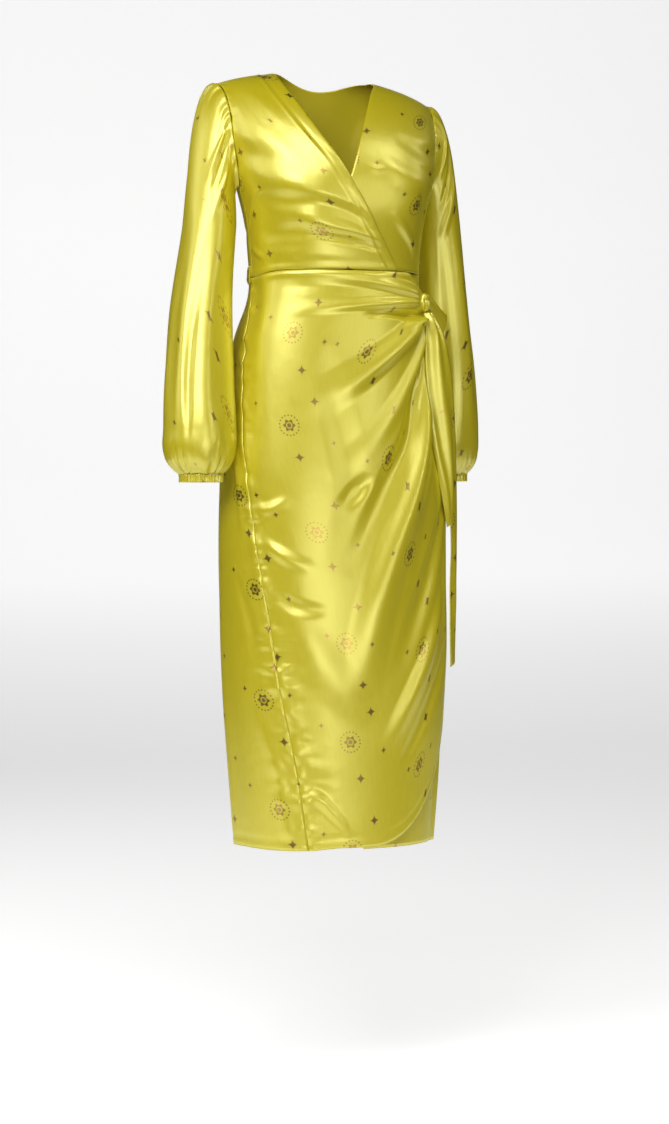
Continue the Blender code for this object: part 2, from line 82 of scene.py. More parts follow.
def ease(value):
    """A soft step from 0 to 1."""
    value = np.clip(value, 0, 1)
    return value * value * (3 - 2 * value)


def mound(distance, width):
    """A soft round bump, 1 at its middle."""
    return np.exp(-(distance / width) ** 2)


def blend(first, second, share):
    return first + (second - first) * share


# Rings of the worn dress. Above the underarm a level is a share of the climb to the shoulder.
FORM = columns(
    ("level", "centre_x", "centre_y", "half_width", "front_depth", "back_depth"),
    (0.000, -0.005, -0.028, 0.176, 0.112, 0.100),
    (-0.090, -0.005, -0.028, 0.170, 0.116, 0.102),
    (-0.135, -0.004, -0.029, 0.163, 0.121, 0.102),
    (-0.178, -0.003, -0.030, 0.149, 0.125, 0.102),
    (-0.215, -0.002, -0.029, 0.139, 0.124, 0.098),
    (-0.260, -0.001, -0.027, 0.133, 0.114, 0.092),
    (-0.305, 0.000, -0.026, 0.1305, 0.106, 0.089),
    (-0.345, 0.000, -0.025, 0.134, 0.1085, 0.098),
    (-0.405, 0.000, -0.020, 0.149, 0.114, 0.114),
    (-0.500, 0.000, -0.017, 0.1625, 0.120, 0.124),
    (-0.620, 0.000, -0.017, 0.1725, 0.124, 0.127),
    (-0.750, 0.000, -0.018, 0.1755, 0.125, 0.125),
    (-0.850, 0.002, -0.020, 0.1750, 0.124, 0.121),
    (-0.960, 0.002, -0.022, 0.1705, 0.121, 0.118),
    (-1.070, 0.003, -0.022, 0.1620, 0.119, 0.116),
    (-1.180, 0.0035, -0.022, 0.1530, 0.117, 0.116),
)

# The surplice edges of the two fronts, from the shoulder to the waist.
SURPLICE = columns(
    ("level", "over", "under"),
    (0.000, -25.5, 24.0), (-0.035, -29.0, 22.5), (-0.071, -28.5, 15.5), (-0.100, -25.0, 9.5),
    (-0.125, -20.0, 4.0), (-0.150, -13.0, -1.5), (-0.178, -4.0, -8.0), (-0.210, 4.0, -14.5),
    (-0.240, 11.8, -20.5), (-0.270, 20.5, -26.5), (-0.305, 31.0, -34.0),
)

# The armhole, by its climb from the underarm: turns from plumb front and from plumb back.
ARMHOLE = columns(
    ("climb", "front", "back"),
    (0.0, 90.0, 90.0), (0.1, 84.5, 81.0), (0.22, 80.0, 73.5), (0.4, 76.0, 67.0),
    (0.6, 73.0, 64.5), (0.8, 75.0, 69.5), (1.0, 84.0, 84.0),
)


def form(turn, level):
    """A point on the inside of the worn dress, at a turn round the body and a level."""
    turn, level = np.broadcast_arrays(np.asarray(turn, float), np.asarray(level, float))
    climb = np.clip(1 - level / UNDERARM_LEVEL, 0, 1)
    rise, fall = np.sin(climb * math.pi / 2), np.cos(climb * math.pi / 2)
    sine, cosine = np.sin(np.radians(turn)), np.cos(np.radians(turn))
    square = 1 + SQUARENESS * np.sin(2 * np.radians(turn)) ** 2
    depth = np.where(cosine > 0, read(FORM, "front_depth", level),
                     read(FORM, "back_depth", level))
    wrapped = (turn + 180) % 360 - 180
    bust = mound(np.abs(wrapped) - BUST_TURN, BUST_SPREAD_ROUND) * mound(level - BUST_LEVEL, BUST_SPREAD_UP)
    x = read(FORM, "centre_x", level)
    x = x + read(FORM, "half_width", level) * sine * square
    y = read(FORM, "centre_y", level) - depth * cosine * square
    y = y - BUST_FULLNESS * bust * (cosine > 0)
    y = SHOULDER_SEAM_Y + (y - SHOULDER_SEAM_Y) * fall
    top = SHOULDER_RISE - SHOULDER_CURVE * x * x
    z = np.where(climb > 0, UNDERARM_LEVEL + rise * (top - UNDERARM_LEVEL), level)
    z = z - SHOULDER_TILT * x * ease((level - WAIST_LEVEL) / -WAIST_LEVEL)
    z = z - (SIDE_DIP * ease((np.abs(wrapped) - SIDE_DIP_START) / SIDE_DIP_START)
             * mound(level - WAIST_LEVEL, SIDE_DIP_SPREAD))
    return np.stack([x, y, z], axis=-1)


def outward(turn, level):
    """The direction that points out of the cloth there."""
    upper = np.minimum(level + PROBE_RISE, 0)
    lower = upper - 2 * PROBE_RISE
    middle = (upper + lower) / 2
    across = form(turn + PROBE_TURN, middle) - form(turn - PROBE_TURN, middle)
    normal = np.cross(across, form(turn, upper) - form(turn, lower))
    return normal / np.linalg.norm(normal, axis=-1, keepdims=True)


def raised(turn, level, height):
    """A point that lies above the worn form by a height."""
    return form(turn, level) + outward(turn, level) * np.asarray(height)[..., None]


def armhole_turn(level, half):
    return read(ARMHOLE, half, np.clip(1 - level / UNDERARM_LEVEL, 0, 1))


def over_lift(turn, under_edge):
    """How far an over panel lies above the form, where an under panel comes below it."""
    return OVERLAP * ease((turn - under_edge + LAP_RUN_IN) / LAP_RISE)


PATH_STEPS = 36
LATTICE = 61


def fold_path(rows, radius):
    """A fold's path in even steps. Its rows give a turn, and a level, height and half width in mm."""
    rows = np.array(rows, float)
    across, level = np.radians(rows[:, 0]) * radius, rows[:, 1] / 1000
    along = np.concatenate([[0], np.cumsum(np.hypot(np.diff(across), np.diff(level)))])
    table = {"along": along, "across": across, "level": level,
             "height": rows[:, 2] / 1000, "width": rows[:, 3] / 1000}
    steps = np.linspace(0, along[-1], PATH_STEPS)
    return [read(table, name, steps) for name in ("across", "level", "height", "width")]


def fold_height(turn, level, folds, radius=UNROLL_RADIUS):
    """Height of soft folds, each with its own path."""
    here = np.radians(turn) * radius
    total = np.zeros_like(here)
    for rows in folds:
        across, down, height, width = fold_path(rows, radius)
        nearest = np.full_like(here, np.inf)
        rise, reach = np.zeros_like(here), np.ones_like(here)
        for step in range(PATH_STEPS - 1):
            run, drop = across[step + 1] - across[step], down[step + 1] - down[step]
            share = ((here - across[step]) * run + (level - down[step]) * drop) / (run ** 2 + drop ** 2)
            share = np.clip(share, 0, 1)
            gap = np.hypot(here - across[step] - share * run, level - down[step] - share * drop)
            closer = gap < nearest
            nearest = np.where(closer, gap, nearest)
            rise = np.where(closer, blend(height[step], height[step + 1], share), rise)
            reach = np.where(closer, blend(width[step], width[step + 1], share), reach)
        total += rise * ease(1 - nearest / reach)
    return total


def waves(across, down, size_across, size_down, seed):
    """Gentle unevenness of loose cloth, from -1 to 1."""
    lattice = np.random.default_rng(seed).uniform(-1, 1, (LATTICE, LATTICE))
    x, y = np.broadcast_arrays(across / size_across, down / size_down)
    column, row = np.floor(x).astype(int), np.floor(y).astype(int)
    right, up = ease(x - column), ease(y - row)
    corner = [[lattice[(column + a) % LATTICE, (row + b) % LATTICE] for b in (0, 1)] for a in (0, 1)]
    return blend(blend(corner[0][0], corner[1][0], right), blend(corner[0][1], corner[1][1], right), up)


SEAM_DEPTH, SEAM_WIDTH = 0.0006, 0.0018
ALLOWANCE_SWELL, ALLOWANCE_MIDDLE, ALLOWANCE_WIDTH = 0.0006, 0.0060, 0.0050


def seam_roll(distance, depth=SEAM_DEPTH, swell=ALLOWANCE_SWELL):
    """The hollow of a seam and the soft swell of its allowances beside it."""
    return swell * mound(distance - ALLOWANCE_MIDDLE, ALLOWANCE_WIDTH) - depth * mound(distance, SEAM_WIDTH)


# Long and short ripples beside a seam: shares of the height, spacing and reach, and a seed's step.
RIPPLES = ((1.0, 1.0, 1.5, 0), (0.5, 0.45, 0.8, 500))
REACH_CHANGE, REACH_SPACING, REACH_SEED_STEP = 0.6, 2.3, 900


def pucker(distance, along, reach, spacing, height, seed):
    """Short ripples that a tight seam draws into the cloth beside it."""
    ripple = 0
    for tall, apart, deep, step in RIPPLES:
        ripple = ripple + tall * waves(along, distance, spacing * apart, reach * deep, seed + step)
    uneven = waves(along, 0 * along, spacing * REACH_SPACING, 1.0, seed + REACH_SEED_STEP)
    return height * ripple * mound(distance, reach * (1 + REACH_CHANGE * uneven))


def panel(node, place, cells, wall=SATIN_WALL, tube=False, print_shift=(0.0, 0.0)):
    """Bends a grid of satin onto place(), in a node's stead. Its UV is the cloth laid flat, in metres."""
    across, up = np.meshgrid(np.linspace(0, 1, cells[0] + 1), np.linspace(0, 1, cells[1] + 1),
                             indexing="ij")
    points = place(across, up)
    flat_across = np.zeros(across.shape)
    flat_across[1:] = np.cumsum(np.linalg.norm(np.diff(points, axis=0), axis=-1), axis=0)
    flat_across -= flat_across[cells[0] // 2]
    flat_up = np.zeros(across.shape)
    flat_up[:, 1:] = np.cumsum(np.linalg.norm(np.diff(points, axis=1), axis=-1), axis=1)
    flat = np.stack([flat_across + print_shift[0], flat_up + print_shift[1]], axis=-1)
    count_across = cells[0] if tube else cells[0] + 1
    number = np.arange(count_across * (cells[1] + 1)).reshape(count_across, cells[1] + 1)
    left = np.arange(cells[0])
    right = (left + 1) % count_across
    corners = np.stack([number[left][:, :-1], number[right][:, :-1],
                        number[right][:, 1:], number[left][:, 1:]], axis=-1)
    flat_corners = np.stack([flat[:-1, :-1], flat[1:, :-1], flat[1:, 1:], flat[:-1, 1:]], axis=2)
    mesh = bpy.data.meshes.new("satin_" + node)
    mesh.from_pydata(points[:count_across].reshape(-1, 3).tolist(), [],
                     corners.reshape(-1, 4).tolist())
    chart = mesh.uv_layers.new(name="cloth")
    chart.data.foreach_set("uv", flat_corners.reshape(-1).astype(np.float32))
    mesh.shade_smooth()
    mesh.materials.append(satin)
    mesh.materials.append(reverse)
    piece = bpy.data.objects.new("satin_" + node, mesh)
    bpy.context.scene.collection.objects.link(piece)
    if wall:
        thickness = piece.modifiers.new("wall", "SOLIDIFY")
        thickness.thickness = wall
        thickness.offset = -1.0
        thickness.material_offset = 1
    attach(piece, "root")
    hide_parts(node)
    return piece


# The satin: lime, warp faced, with a scattered foil print of small round flowers and stars.
SATIN_COLOUR = (0.70, 0.590, 0.009)
SATIN_DEEP = (0.63, 0.513, 0.007)
SATIN_SHEEN = (0.82, 1.0, 0.76)
SATIN_INDEX, SATIN_GRAIN = 1.85, 0.45
SATIN_ROUGHNESS, SLUB_ROUGHNESS, FOIL_POLISH = 0.31, 0.08, -0.05
SATIN_METAL, FOIL_METAL = 0.25, 0.60
FOIL_COLOUR = (0.46, 0.305, 0.070)
REVERSE_COLOUR, REVERSE_ROUGHNESS = (0.55, 0.460, 0.012), 0.55
SLUB_SCALE, SLUB_STRETCH, SLUB_DETAIL, SLUB_STRENGTH, SLUB_HEIGHT = 260.0, 0.16, 4.0, 0.18, 0.0004
CREASING_SCALE, CREASING_DETAIL, CREASING_STRENGTH, CREASING_HEIGHT = 42.0, 3.0, 0.20, 0.0012

REPEAT_WIDTH, REPEAT_HEIGHT = 0.142, 0.160
FLOWER_DRIFT = (0.022, 0.026)
FLOWER_RADIUS, FLOWER_PETALS, PETAL_WAVE = 0.0100, 6, 0.16
EYE_RADIUS, EYE_LINE = 0.0042, 0.0008
DOT_RING, DOTS, DOT_RADIUS = 0.0155, 18, 0.0013
STARS = (
    (0.036, 0.044, 0.0095, 0.9), (-0.044, 0.028, 0.0060, -1.3), (0.014, -0.056, 0.0095, -0.7),
    (0.054, -0.018, 0.0060, 1.2),
)
STAR_POWER, STAR_DRIFT = 0.52, 0.024


def shader_node(tree, kind, inputs=None, **settings):
    """Adds a node to a material, with its settings and the values of its inputs."""
    node = tree.nodes.new("ShaderNode" + kind)
    for name, value in settings.items():
        setattr(node, name, value)
    for name, value in (inputs or {}).items():
        node.inputs[name].default_value = value
    return node


class Wired:
    """A number that runs through a material's nodes. Plain arithmetic on it adds the nodes."""

    def __init__(self, tree, socket):
        self.tree = tree
        self.socket = socket

    def math(self, operation, *others):
        node = shader_node(self.tree, "Math", operation=operation)
        for place, value in enumerate((self, *others)):
            if isinstance(value, Wired):
                value.to(node.inputs[place])
            else:
                node.inputs[place].default_value = value
        return Wired(self.tree, node.outputs[0])

    def __add__(self, other):
        return self.math("ADD", other)

    def __sub__(self, other):
        return self.math("SUBTRACT", other)

    def __mul__(self, other):
        return self.math("MULTIPLY", other)

    def __truediv__(self, other):
        return self.math("DIVIDE", other)

    def to(self, socket):
        self.tree.links.new(self.socket, socket)


def foil_mask(tree, u, v):
    """1 where the foil is: a half-drop repeat of a flower with its ring of dots, and four stars."""
    column = (u / REPEAT_WIDTH).math("FLOOR")
    lifted = v / REPEAT_HEIGHT + column * 0.5
    cell = shader_node(tree, "CombineXYZ")
    column.to(cell.inputs[0])
    lifted.math("FLOOR").to(cell.inputs[1])
    scatter = shader_node(tree, "TexWhiteNoise", noise_dimensions="2D")
    tree.links.new(cell.outputs[0], scatter.inputs["Vector"])
    drift = shader_node(tree, "SeparateColor")
    tree.links.new(scatter.outputs["Color"], drift.inputs[0])
    across, up, stray = [Wired(tree, output) - 0.5 for output in drift.outputs]
    x = (u / REPEAT_WIDTH).math("FRACT") * REPEAT_WIDTH - REPEAT_WIDTH / 2 + across * FLOWER_DRIFT[0]
    y = lifted.math("FRACT") * REPEAT_HEIGHT - REPEAT_HEIGHT / 2 + up * FLOWER_DRIFT[1]
    radius = (x * x + y * y).math("SQRT")
    angle = y.math("ARCTAN2", x) + math.pi
    outline = ((angle * FLOWER_PETALS).math("COSINE") * PETAL_WAVE + (1 - PETAL_WAVE)) * FLOWER_RADIUS
    eye = (radius - EYE_RADIUS).math("ABSOLUTE").math("LESS_THAN", EYE_LINE)
    mask = radius.math("LESS_THAN", outline) - eye
    around = (angle * (DOTS / (2 * math.pi))).math("FRACT")
    aside, apart = (around - 0.5) * (2 * math.pi / DOTS * DOT_RING), radius - DOT_RING
    dots = (aside * aside + apart * apart).math("SQRT").math("LESS_THAN", DOT_RADIUS)
    mask = mask.math("MAXIMUM", dots)
    for star_x, star_y, arm, share in STARS:
        moved = stray * (STAR_DRIFT * share)
        aside = (x - star_x + moved).math("ABSOLUTE").math("POWER", STAR_POWER)
        above = (y - star_y - moved).math("ABSOLUTE").math("POWER", STAR_POWER)
        star = (aside + above).math("LESS_THAN", arm ** STAR_POWER)
        mask = mask.math("MAXIMUM", star)
    return mask


def lime_satin():
    material = bpy.data.materials.new("lime_satin")
    material.use_nodes = True
    tree = material.node_tree
    shader = tree.nodes["Principled BSDF"]
    shader.inputs["IOR"].default_value = SATIN_INDEX
    shader.inputs["Specular IOR Level"].default_value = 1.0
    shader.inputs["Specular Tint"].default_value = (*SATIN_SHEEN, 1)
    shader.inputs["Anisotropic"].default_value = SATIN_GRAIN
    chart = shader_node(tree, "UVMap", uv_map="cloth")
    split = shader_node(tree, "SeparateXYZ")
    stretch = shader_node(tree, "Mapping", {"Scale": (1.0, SLUB_STRETCH, 1.0)})
    slub = shader_node(tree, "TexNoise", {"Scale": SLUB_SCALE, "Detail": SLUB_DETAIL})
    tone = shader_node(tree, "Mix", {"A": (*SATIN_DEEP, 1), "B": (*SATIN_COLOUR, 1)}, data_type="RGBA")
    printed = shader_node(tree, "Mix", {"B": (*FOIL_COLOUR, 1)}, data_type="RGBA")
    grain = shader_node(tree, "Tangent", direction_type="UV_MAP", uv_map="cloth")
    creasing = shader_node(tree, "TexNoise", {"Scale": CREASING_SCALE, "Detail": CREASING_DETAIL})
    weave = shader_node(tree, "Bump", {"Strength": SLUB_STRENGTH, "Distance": SLUB_HEIGHT})
    soft = shader_node(tree, "Bump", {"Strength": CREASING_STRENGTH, "Distance": CREASING_HEIGHT})
    for start, end in (
            (chart.outputs[0], split.inputs[0]),
            (chart.outputs[0], stretch.inputs[0]),
            (stretch.outputs[0], slub.inputs["Vector"]),
            (slub.outputs["Fac"], tone.inputs["Factor"]),
            (tone.outputs["Result"], printed.inputs["A"]),
            (printed.outputs["Result"], shader.inputs["Base Color"]),
            (grain.outputs[0], shader.inputs["Tangent"]),
            (chart.outputs[0], creasing.inputs["Vector"]),
            (slub.outputs["Fac"], weave.inputs["Height"]),
            (creasing.outputs["Fac"], soft.inputs["Height"]),
            (weave.outputs[0], soft.inputs["Normal"]),
            (soft.outputs[0], shader.inputs["Normal"])):
        tree.links.new(start, end)
    mask = foil_mask(tree, Wired(tree, split.outputs[0]), Wired(tree, split.outputs[1]))
    mask.to(printed.inputs["Factor"])
    (mask * FOIL_METAL + SATIN_METAL).to(shader.inputs["Metallic"])
    slubs = Wired(tree, slub.outputs["Fac"])
    (slubs * SLUB_ROUGHNESS + SATIN_ROUGHNESS + mask * FOIL_POLISH).to(shader.inputs["Roughness"])
    return material


def satin_reverse():
    """The dull side of the same cloth, without foil."""
    material = bpy.data.materials.new("lime_satin_reverse")
    material.use_nodes = True
    shader = material.node_tree.nodes["Principled BSDF"]
    shader.inputs["Base Color"].default_value = (*REVERSE_COLOUR, 1)
    shader.inputs["Roughness"].default_value = REVERSE_ROUGHNESS
    return material


satin = lime_satin()
reverse = satin_reverse()

# Folds of the right front: a turn, and a level, height and half width in mm along each path.
BODICE_OVER_FOLDS = (
    ((-88, -136, -1, 16), (-70, -144, -2.5, 20), (-48, -156, -2, 22), (-26, -164, 0, 18)),
    ((-84, -168, 0, 16), (-62, -172, 1.2, 22), (-40, -178, 1.5, 24), (-20, -184, 0, 18)),
    ((-66, -196, 0, 14), (-50, -204, -3, 20), (-28, -208, -4.5, 20), (-6, -222, -3.5, 16),
     (8, -236, 0, 10)),
    ((-44, -228, 0, 12), (-22, -238, 4, 15), (-2, -248, 5, 13), (14, -260, 2, 9), (20, -270, 0, 7)),
    ((-36, -252, 0, 7), (-20, -256, -3.5, 7), (0, -264, -4, 7), (16, -275, 0, 6)),
    ((-82, -238, 0, 14), (-62, -248, -1.5, 18), (-36, -250, -1.5, 16), (-16, -262, 0, 12)),
    ((-74, -274, 0, 12), (-50, -280, 1.2, 16), (-22, -281, 1.2, 14), (2, -288, 0, 9)),
    ((-88, -262, 0, 7), (-76, -274, 2, 8), (-66, -284, 0, 7)),
    ((-32, -118, 0, 8), (-26, -140, 1.2, 10), (-14, -166, 1.2, 10), (0, -204, 1.5, 10), (12, -250, 0, 9)),
    ((-56, -60, 0, 16), (-46, -92, 2, 22), (-40, -124, 0, 18)),
)
DART = ((-61, -190, -0.2, 3), (-70, -198, -1.7, 3.6), (-79, -214, -1.7, 3.6), (-88, -240, -0.8, 3))
DART_SWELL = ((-60, -186, 0.4, 9), (-68, -192, 2.2, 11), (-76, -204, 1.8, 11), (-86, -228, 0.6, 9))
WAIST_HOLD, SIDE_HOLD = 0.012, 0.010
RIGHT_SIDE_PUCKER = (0.010, 0.012, 0.0010, 12)
UNEVEN_OVER = (0.065, 0.045, 11)
UNEVENNESS = 0.0007
FACING_WIDTH, FACING_RIDGE, FACING_RIDGE_WIDTH = 0.019, 0.0007, 0.0022
FACING_DIP, FACING_DIP_APART, FACING_DIP_WIDTH = 0.0006, 0.005, 0.0030
EDGE_TURN, EDGE_TURN_WIDTH = 0.0010, 0.0016


def slack(level, from_side):
    """0 at the waist and side seams, and 1 where the cloth is free of them."""
    return ease((level - WAIST_LEVEL) / WAIST_HOLD) * ease(from_side / SIDE_HOLD)


def bodice_over(across, up):
    level = blend(WAIST_LEVEL + SEAM_GAP, 0, up)
    edge = read(SURPLICE, "over", level)
    side = armhole_turn(level, "front")
    turn = blend(-side, edge, across)
    radius = read(FORM, "front_depth", level)
    from_edge = np.radians(edge - turn) * radius
    from_side = np.radians(turn + side) * radius
    height = OUTER_FACE + over_lift(turn, read(SURPLICE, "under", level))
    loose = slack(level, from_side)
    height = height + fold_height(turn, level, BODICE_OVER_FOLDS + (DART, DART_SWELL)) * loose
    height = height + UNEVENNESS * waves(from_side, level, *UNEVEN_OVER) * loose
    height = height + pucker(from_side, level, *RIGHT_SIDE_PUCKER)
    height = height + seam_roll(level - WAIST_LEVEL) + seam_roll(from_side)
    height = height + FACING_RIDGE * mound(from_edge - FACING_WIDTH, FACING_RIDGE_WIDTH)
    height = height - FACING_DIP * mound(from_edge - FACING_WIDTH + FACING_DIP_APART, FACING_DIP_WIDTH)
    height = height - EDGE_TURN * mound(from_edge, EDGE_TURN_WIDTH)
    return raised(turn, level, height)


bodice_front_over = panel("bodice_front_over", bodice_over, (112, 150), print_shift=(0.031, 0.012))

# ------------------------------
# Bodice, left front. A second front of the same satin, lapped under the right one, faced along
# its own sloping edge and sewn in at the shoulder, armhole, side and waist.
UNDER_SINK, UNDER_MARGIN, UNDER_FADE = 0.006, 2, 12
LEFT_SIDE_PUCKER = (0.010, 0.012, 0.0010, 22)
UNEVEN_UNDER = (0.060, 0.045, 21)
BODICE_UNDER_FOLDS = (
    ((20, -216, 0, 8), (32, -240, 3, 11), (44, -268, 3, 11), (50, -296, 0, 9)),
    ((40, -176, 0, 12), (50, -206, -3, 14), (62, -240, -3.5, 14), (68, -282, 0, 12)),
    ((10, -150, 0, 10), (26, -166, 2.5, 16), (50, -172, 3, 18), (72, -164, 0, 14)),
    ((22, -126, 0, 10), (40, -136, -2.5, 16), (62, -132, -2.5, 16), (78, -118, 0, 12)),
    ((2, -158, 0, 4), (9, -163, 1.4, 5), (17, -162, 0, 5)),
    ((84, -150, 0, 7), (74, -168, 2.5, 8), (66, -196, 0, 8)),
    ((86, -210, 0, 8), (76, -232, -2.5, 9), (72, -262, 0, 8)),
    ((88, -262, 0, 8), (78, -276, 2, 8), (66, -286, 0, 8)),
)


def bodice_under(across, up):
    level = blend(WAIST_LEVEL + SEAM_GAP, 0, up)
    edge = read(SURPLICE, "under", level)
    side = armhole_turn(level, "front")
    turn = blend(edge, side, across)
    radius = read(FORM, "front_depth", level)
    from_edge, from_side = np.radians(turn - edge) * radius, np.radians(side - turn) * radius
    loose = slack(level, from_side)
    height = OUTER_FACE + fold_height(turn, level, BODICE_UNDER_FOLDS) * loose
    hidden = ease((read(SURPLICE, "over", level) - UNDER_MARGIN - turn) / UNDER_FADE)
    height = blend(height, OUTER_FACE - UNDER_SINK, hidden)
    height = height + UNEVENNESS * waves(from_side, level, *UNEVEN_UNDER) * (1 - hidden) * loose
    height = height + pucker(from_side, level, *LEFT_SIDE_PUCKER)
    height = height + seam_roll(level - WAIST_LEVEL) * (1 - hidden) + seam_roll(from_side)
    height = height - EDGE_TURN * mound(from_edge, EDGE_TURN_WIDTH)
    return raised(turn, level, height)


bodice_front_under = panel("bodice_front_under", bodice_under, (112, 150), print_shift=(0.207, 0.064))

# ------------------------------
# Bodice back. One piece of satin cut to a shallow round neck, sewn to both fronts at the
# shoulders and sides, and to the back skirt at the waist.
BACK_NECK_SHARE = 0.294
BACK_NECK_DROP = 0.055
BACK_FULLNESS = 1.2
BACK_UNEVENNESS, UNEVEN_BACK = 0.0010, (0.060, 0.040, 31)
BODICE_BACK_FOLDS = (
    ((112, -150, 0, 12), (134, -176, 3, 16), (158, -190, 2.5, 16), (180, -186, 0, 12)),
    ((248, -146, 0, 12), (228, -172, 3, 16), (204, -190, 2.5, 16), (184, -200, 0, 12)),
    ((98, -240, 0, 10), (124, -252, -3, 14), (154, -250, -2.5, 14), (176, -262, 0, 10)),
    ((262, -236, 0, 10), (236, -248, -3, 14), (208, -246, -2.5, 14), (186, -256, 0, 10)),
    ((120, -270, 0, 9), (150, -278, 2.5, 12), (190, -280, 2.5, 12), (226, -274, 0, 9)),
    ((148, -80, 0, 14), (152, -120, -2.5, 16), (146, -166, 0, 14)),
    ((212, -82, 0, 14), (206, -124, -2.5, 16), (214, -168, 0, 14)),
)


def bodice_behind(across, up):
    side = np.abs(2 * across - 1)
    neck = np.sqrt(1 - np.minimum(side / BACK_NECK_SHARE, 1) ** 2)
    level = blend(WAIST_LEVEL + SEAM_GAP, -BACK_NECK_DROP * neck, up)
    edge = armhole_turn(level, "back")
    turn = blend(180 - edge, 180 + edge, across)
    radius = read(FORM, "back_depth", level) * BACK_FULLNESS
    from_side = np.minimum(across, 1 - across) * 2 * np.radians(edge) * radius
    loose = slack(level, from_side)
    height = OUTER_FACE + fold_height(turn, level, BODICE_BACK_FOLDS) * loose
    height = height + BACK_UNEVENNESS * waves(np.radians(turn) * radius, level, *UNEVEN_BACK) * loose
    left, right = [pucker(from_side, level, *ripples) for ripples in (LEFT_SIDE_PUCKER, RIGHT_SIDE_PUCKER)]
    height = height + np.where(turn < 180, left, right)
    height = height + seam_roll(level - WAIST_LEVEL) + seam_roll(from_side)
    return raised(turn, level, height)


bodice_back = panel("bodice_back", bodice_behind, (150, 110), print_shift=(0.411, 0.027))

# ------------------------------
# Skirt, right front. The panel that shows: sewn to the side seam and the waist, drawn up
# into the knot at the wearer's left, with a free edge and a rounded corner at the hem.
HEM_LEVEL = -1.18
SKIRT_RADIUS = 0.15
KNOT_TURN, KNOT_LEVEL = 55.0, -0.352
FOLD_START, FOLD_FULL, FOLD_FADE_POWER, FOLD_FAR_SHARE = 0.012, 0.042, 0.8, 0.8
UNDER_SKIRT_START = 32.0
CORNER_TURN_SHARE, CORNER_RISE, CORNER_POWER = 0.354, 0.205, 2.2
OVER_HEM_RAISE, OVER_HEM_RAISE_SHARE = 0.004, 0.2
SEAM_SMOOTH_SHARE = 0.12
KNOT_DRAW_START = 0.83
ROW_POWER, KNOT_ROW_POWER = 1.25, 2.0

# The right side seam, which the pull of the knot swings to the front.
RIGHT_SEAM = columns(
    ("level", "turn"),
    (-0.305, -89.0), (-0.360, -84.0), (-0.436, -76.5), (-0.500, -71.0), (-0.576, -65.0),
    (-0.660, -58.0), (-0.744, -52.0), (-0.830, -47.0), (-0.936, -41.5), (-1.050, -35.0),
    (-1.180, -30.0),
)

# The free edge of the over skirt, from the knot down to the rounded corner.
FREE_EDGE = columns(
    ("level", "turn"),
    (-0.305, 60.0), (-0.352, 55.5), (-0.385, 49.0), (-0.420, 45.5), (-0.480, 42.5),
    (-0.550, 43.5), (-0.604, 49.5), (-0.652, 58.0), (-0.700, 63.5), (-0.800, 67.0),
    (-1.180, 70.0),
)

# Main folds that leave the knot: turn from level to plumb, near and far.
KNOT_FOLDS = columns(
    ("near_turn", "far_turn", "reach", "height", "near_width", "far_width", "sharpness"),
    (-19.0, -7.0, 0.30, 0.0085, 0.018, 0.032, 0.38),
    (1.0, 4.0, 0.26, 0.006, 0.010, 0.018, 0.6),
    (45.0, 38.0, 0.28, 0.015, 0.020, 0.046, 0.24),
    (68.0, 58.0, 0.32, 0.007, 0.010, 0.030, 0.6),
    (82.0, 75.5, 0.70, 0.010, 0.014, 0.056, 0.6),
)
SKIRT_OVER_FOLDS = (
    ((2, -374, 0, 8), (18, -371, -5, 8), (33, -372, -11, 10), (46, -370, -14, 9), (53, -366, 0, 6)),
    ((24, -392, 0, 10), (36, -384, 2.5, 10), (47, -374, 0, 6)),
    ((46, -410, 0, 5), (40, -450, -5, 8), (34, -491, -7, 11), (27, -560, -8, 16), (16, -622, -7.5, 20),
     (5, -692, -5.5, 24), (-6, -770, 0, 22)),
    ((38, -476, 0, 12), (28, -520, 1.8, 24), (14, -570, 1.8, 34), (-2, -600, 1.4, 36), (-18, -614, 0, 30)),
    ((44, -460, 0, 9), (38, -560, 7, 15), (29, -640, 9.5, 22), (17, -730, 10, 28), (6, -830, 8, 32),
     (0, -950, 0, 30)),
    ((60, -640, 0, 12), (50, -700, -5, 16), (38, -780, -7, 20), (26, -860, -3, 20), (18, -930, 0, 18)),
    ((6, -612, 0, 14), (-2, -640, -5, 18), (-12, -668, 0, 16)),
    ((-40, -800, 0, 24), (-24, -880, 3, 34), (-10, -940, 3, 38), (4, -990, 0, 30)),
    ((54, -780, 0, 12), (42, -864, 6, 18), (30, -941, 6.5, 20), (14, -1030, 0, 18)),
    ((60, -860, 0, 12), (48, -930, -5, 15), (34, -1000, -4, 16), (22, -1060, 0, 12)),
    ((-36, -1126, 0, 10), (-28, -1096, 4, 13), (-16, -1124, 3.5, 11), (-6, -1160, 0, 8)),
    ((60, -700, 0, 10), (56, -800, 3, 12), (58, -900, 0, 12)),
    ((-64, -640, 0, 10), (-50, -668, 4, 14), (-34, -650, 0, 12)),
    ((-56, -700, 0, 10), (-40, -735, 4.5, 16), (-22, -760, 0, 16)),
    ((-48, -780, 0, 10), (-32, -812, -4, 16), (-16, -820, 0, 14)),
    ((-20, -420, 0, 22), (-12, -520, -4, 30), (-4, -640, -3, 28), (-14, -760, 0, 24)),
    ((-44, -1010, 0, 5), (-36, -1006, 2.4, 7), (-26, -1010, 0, 6)),
)
GATHER_SWELL, GATHER_SPREAD, GATHER_START = 0.009, 0.075, 0.02
RIGHT_SEAM_HOLD, RIGHT_SEAM_DEPTH = 0.025, 0.0003
RIGHT_SEAM_PUCKER = (0.020, 0.017, 0.0026, 42)
SKIRT_UNEVENNESS, UNEVEN_SKIRT = 0.0013, (0.070, 0.090, 41)
WAIST_SWELL = 0.0012
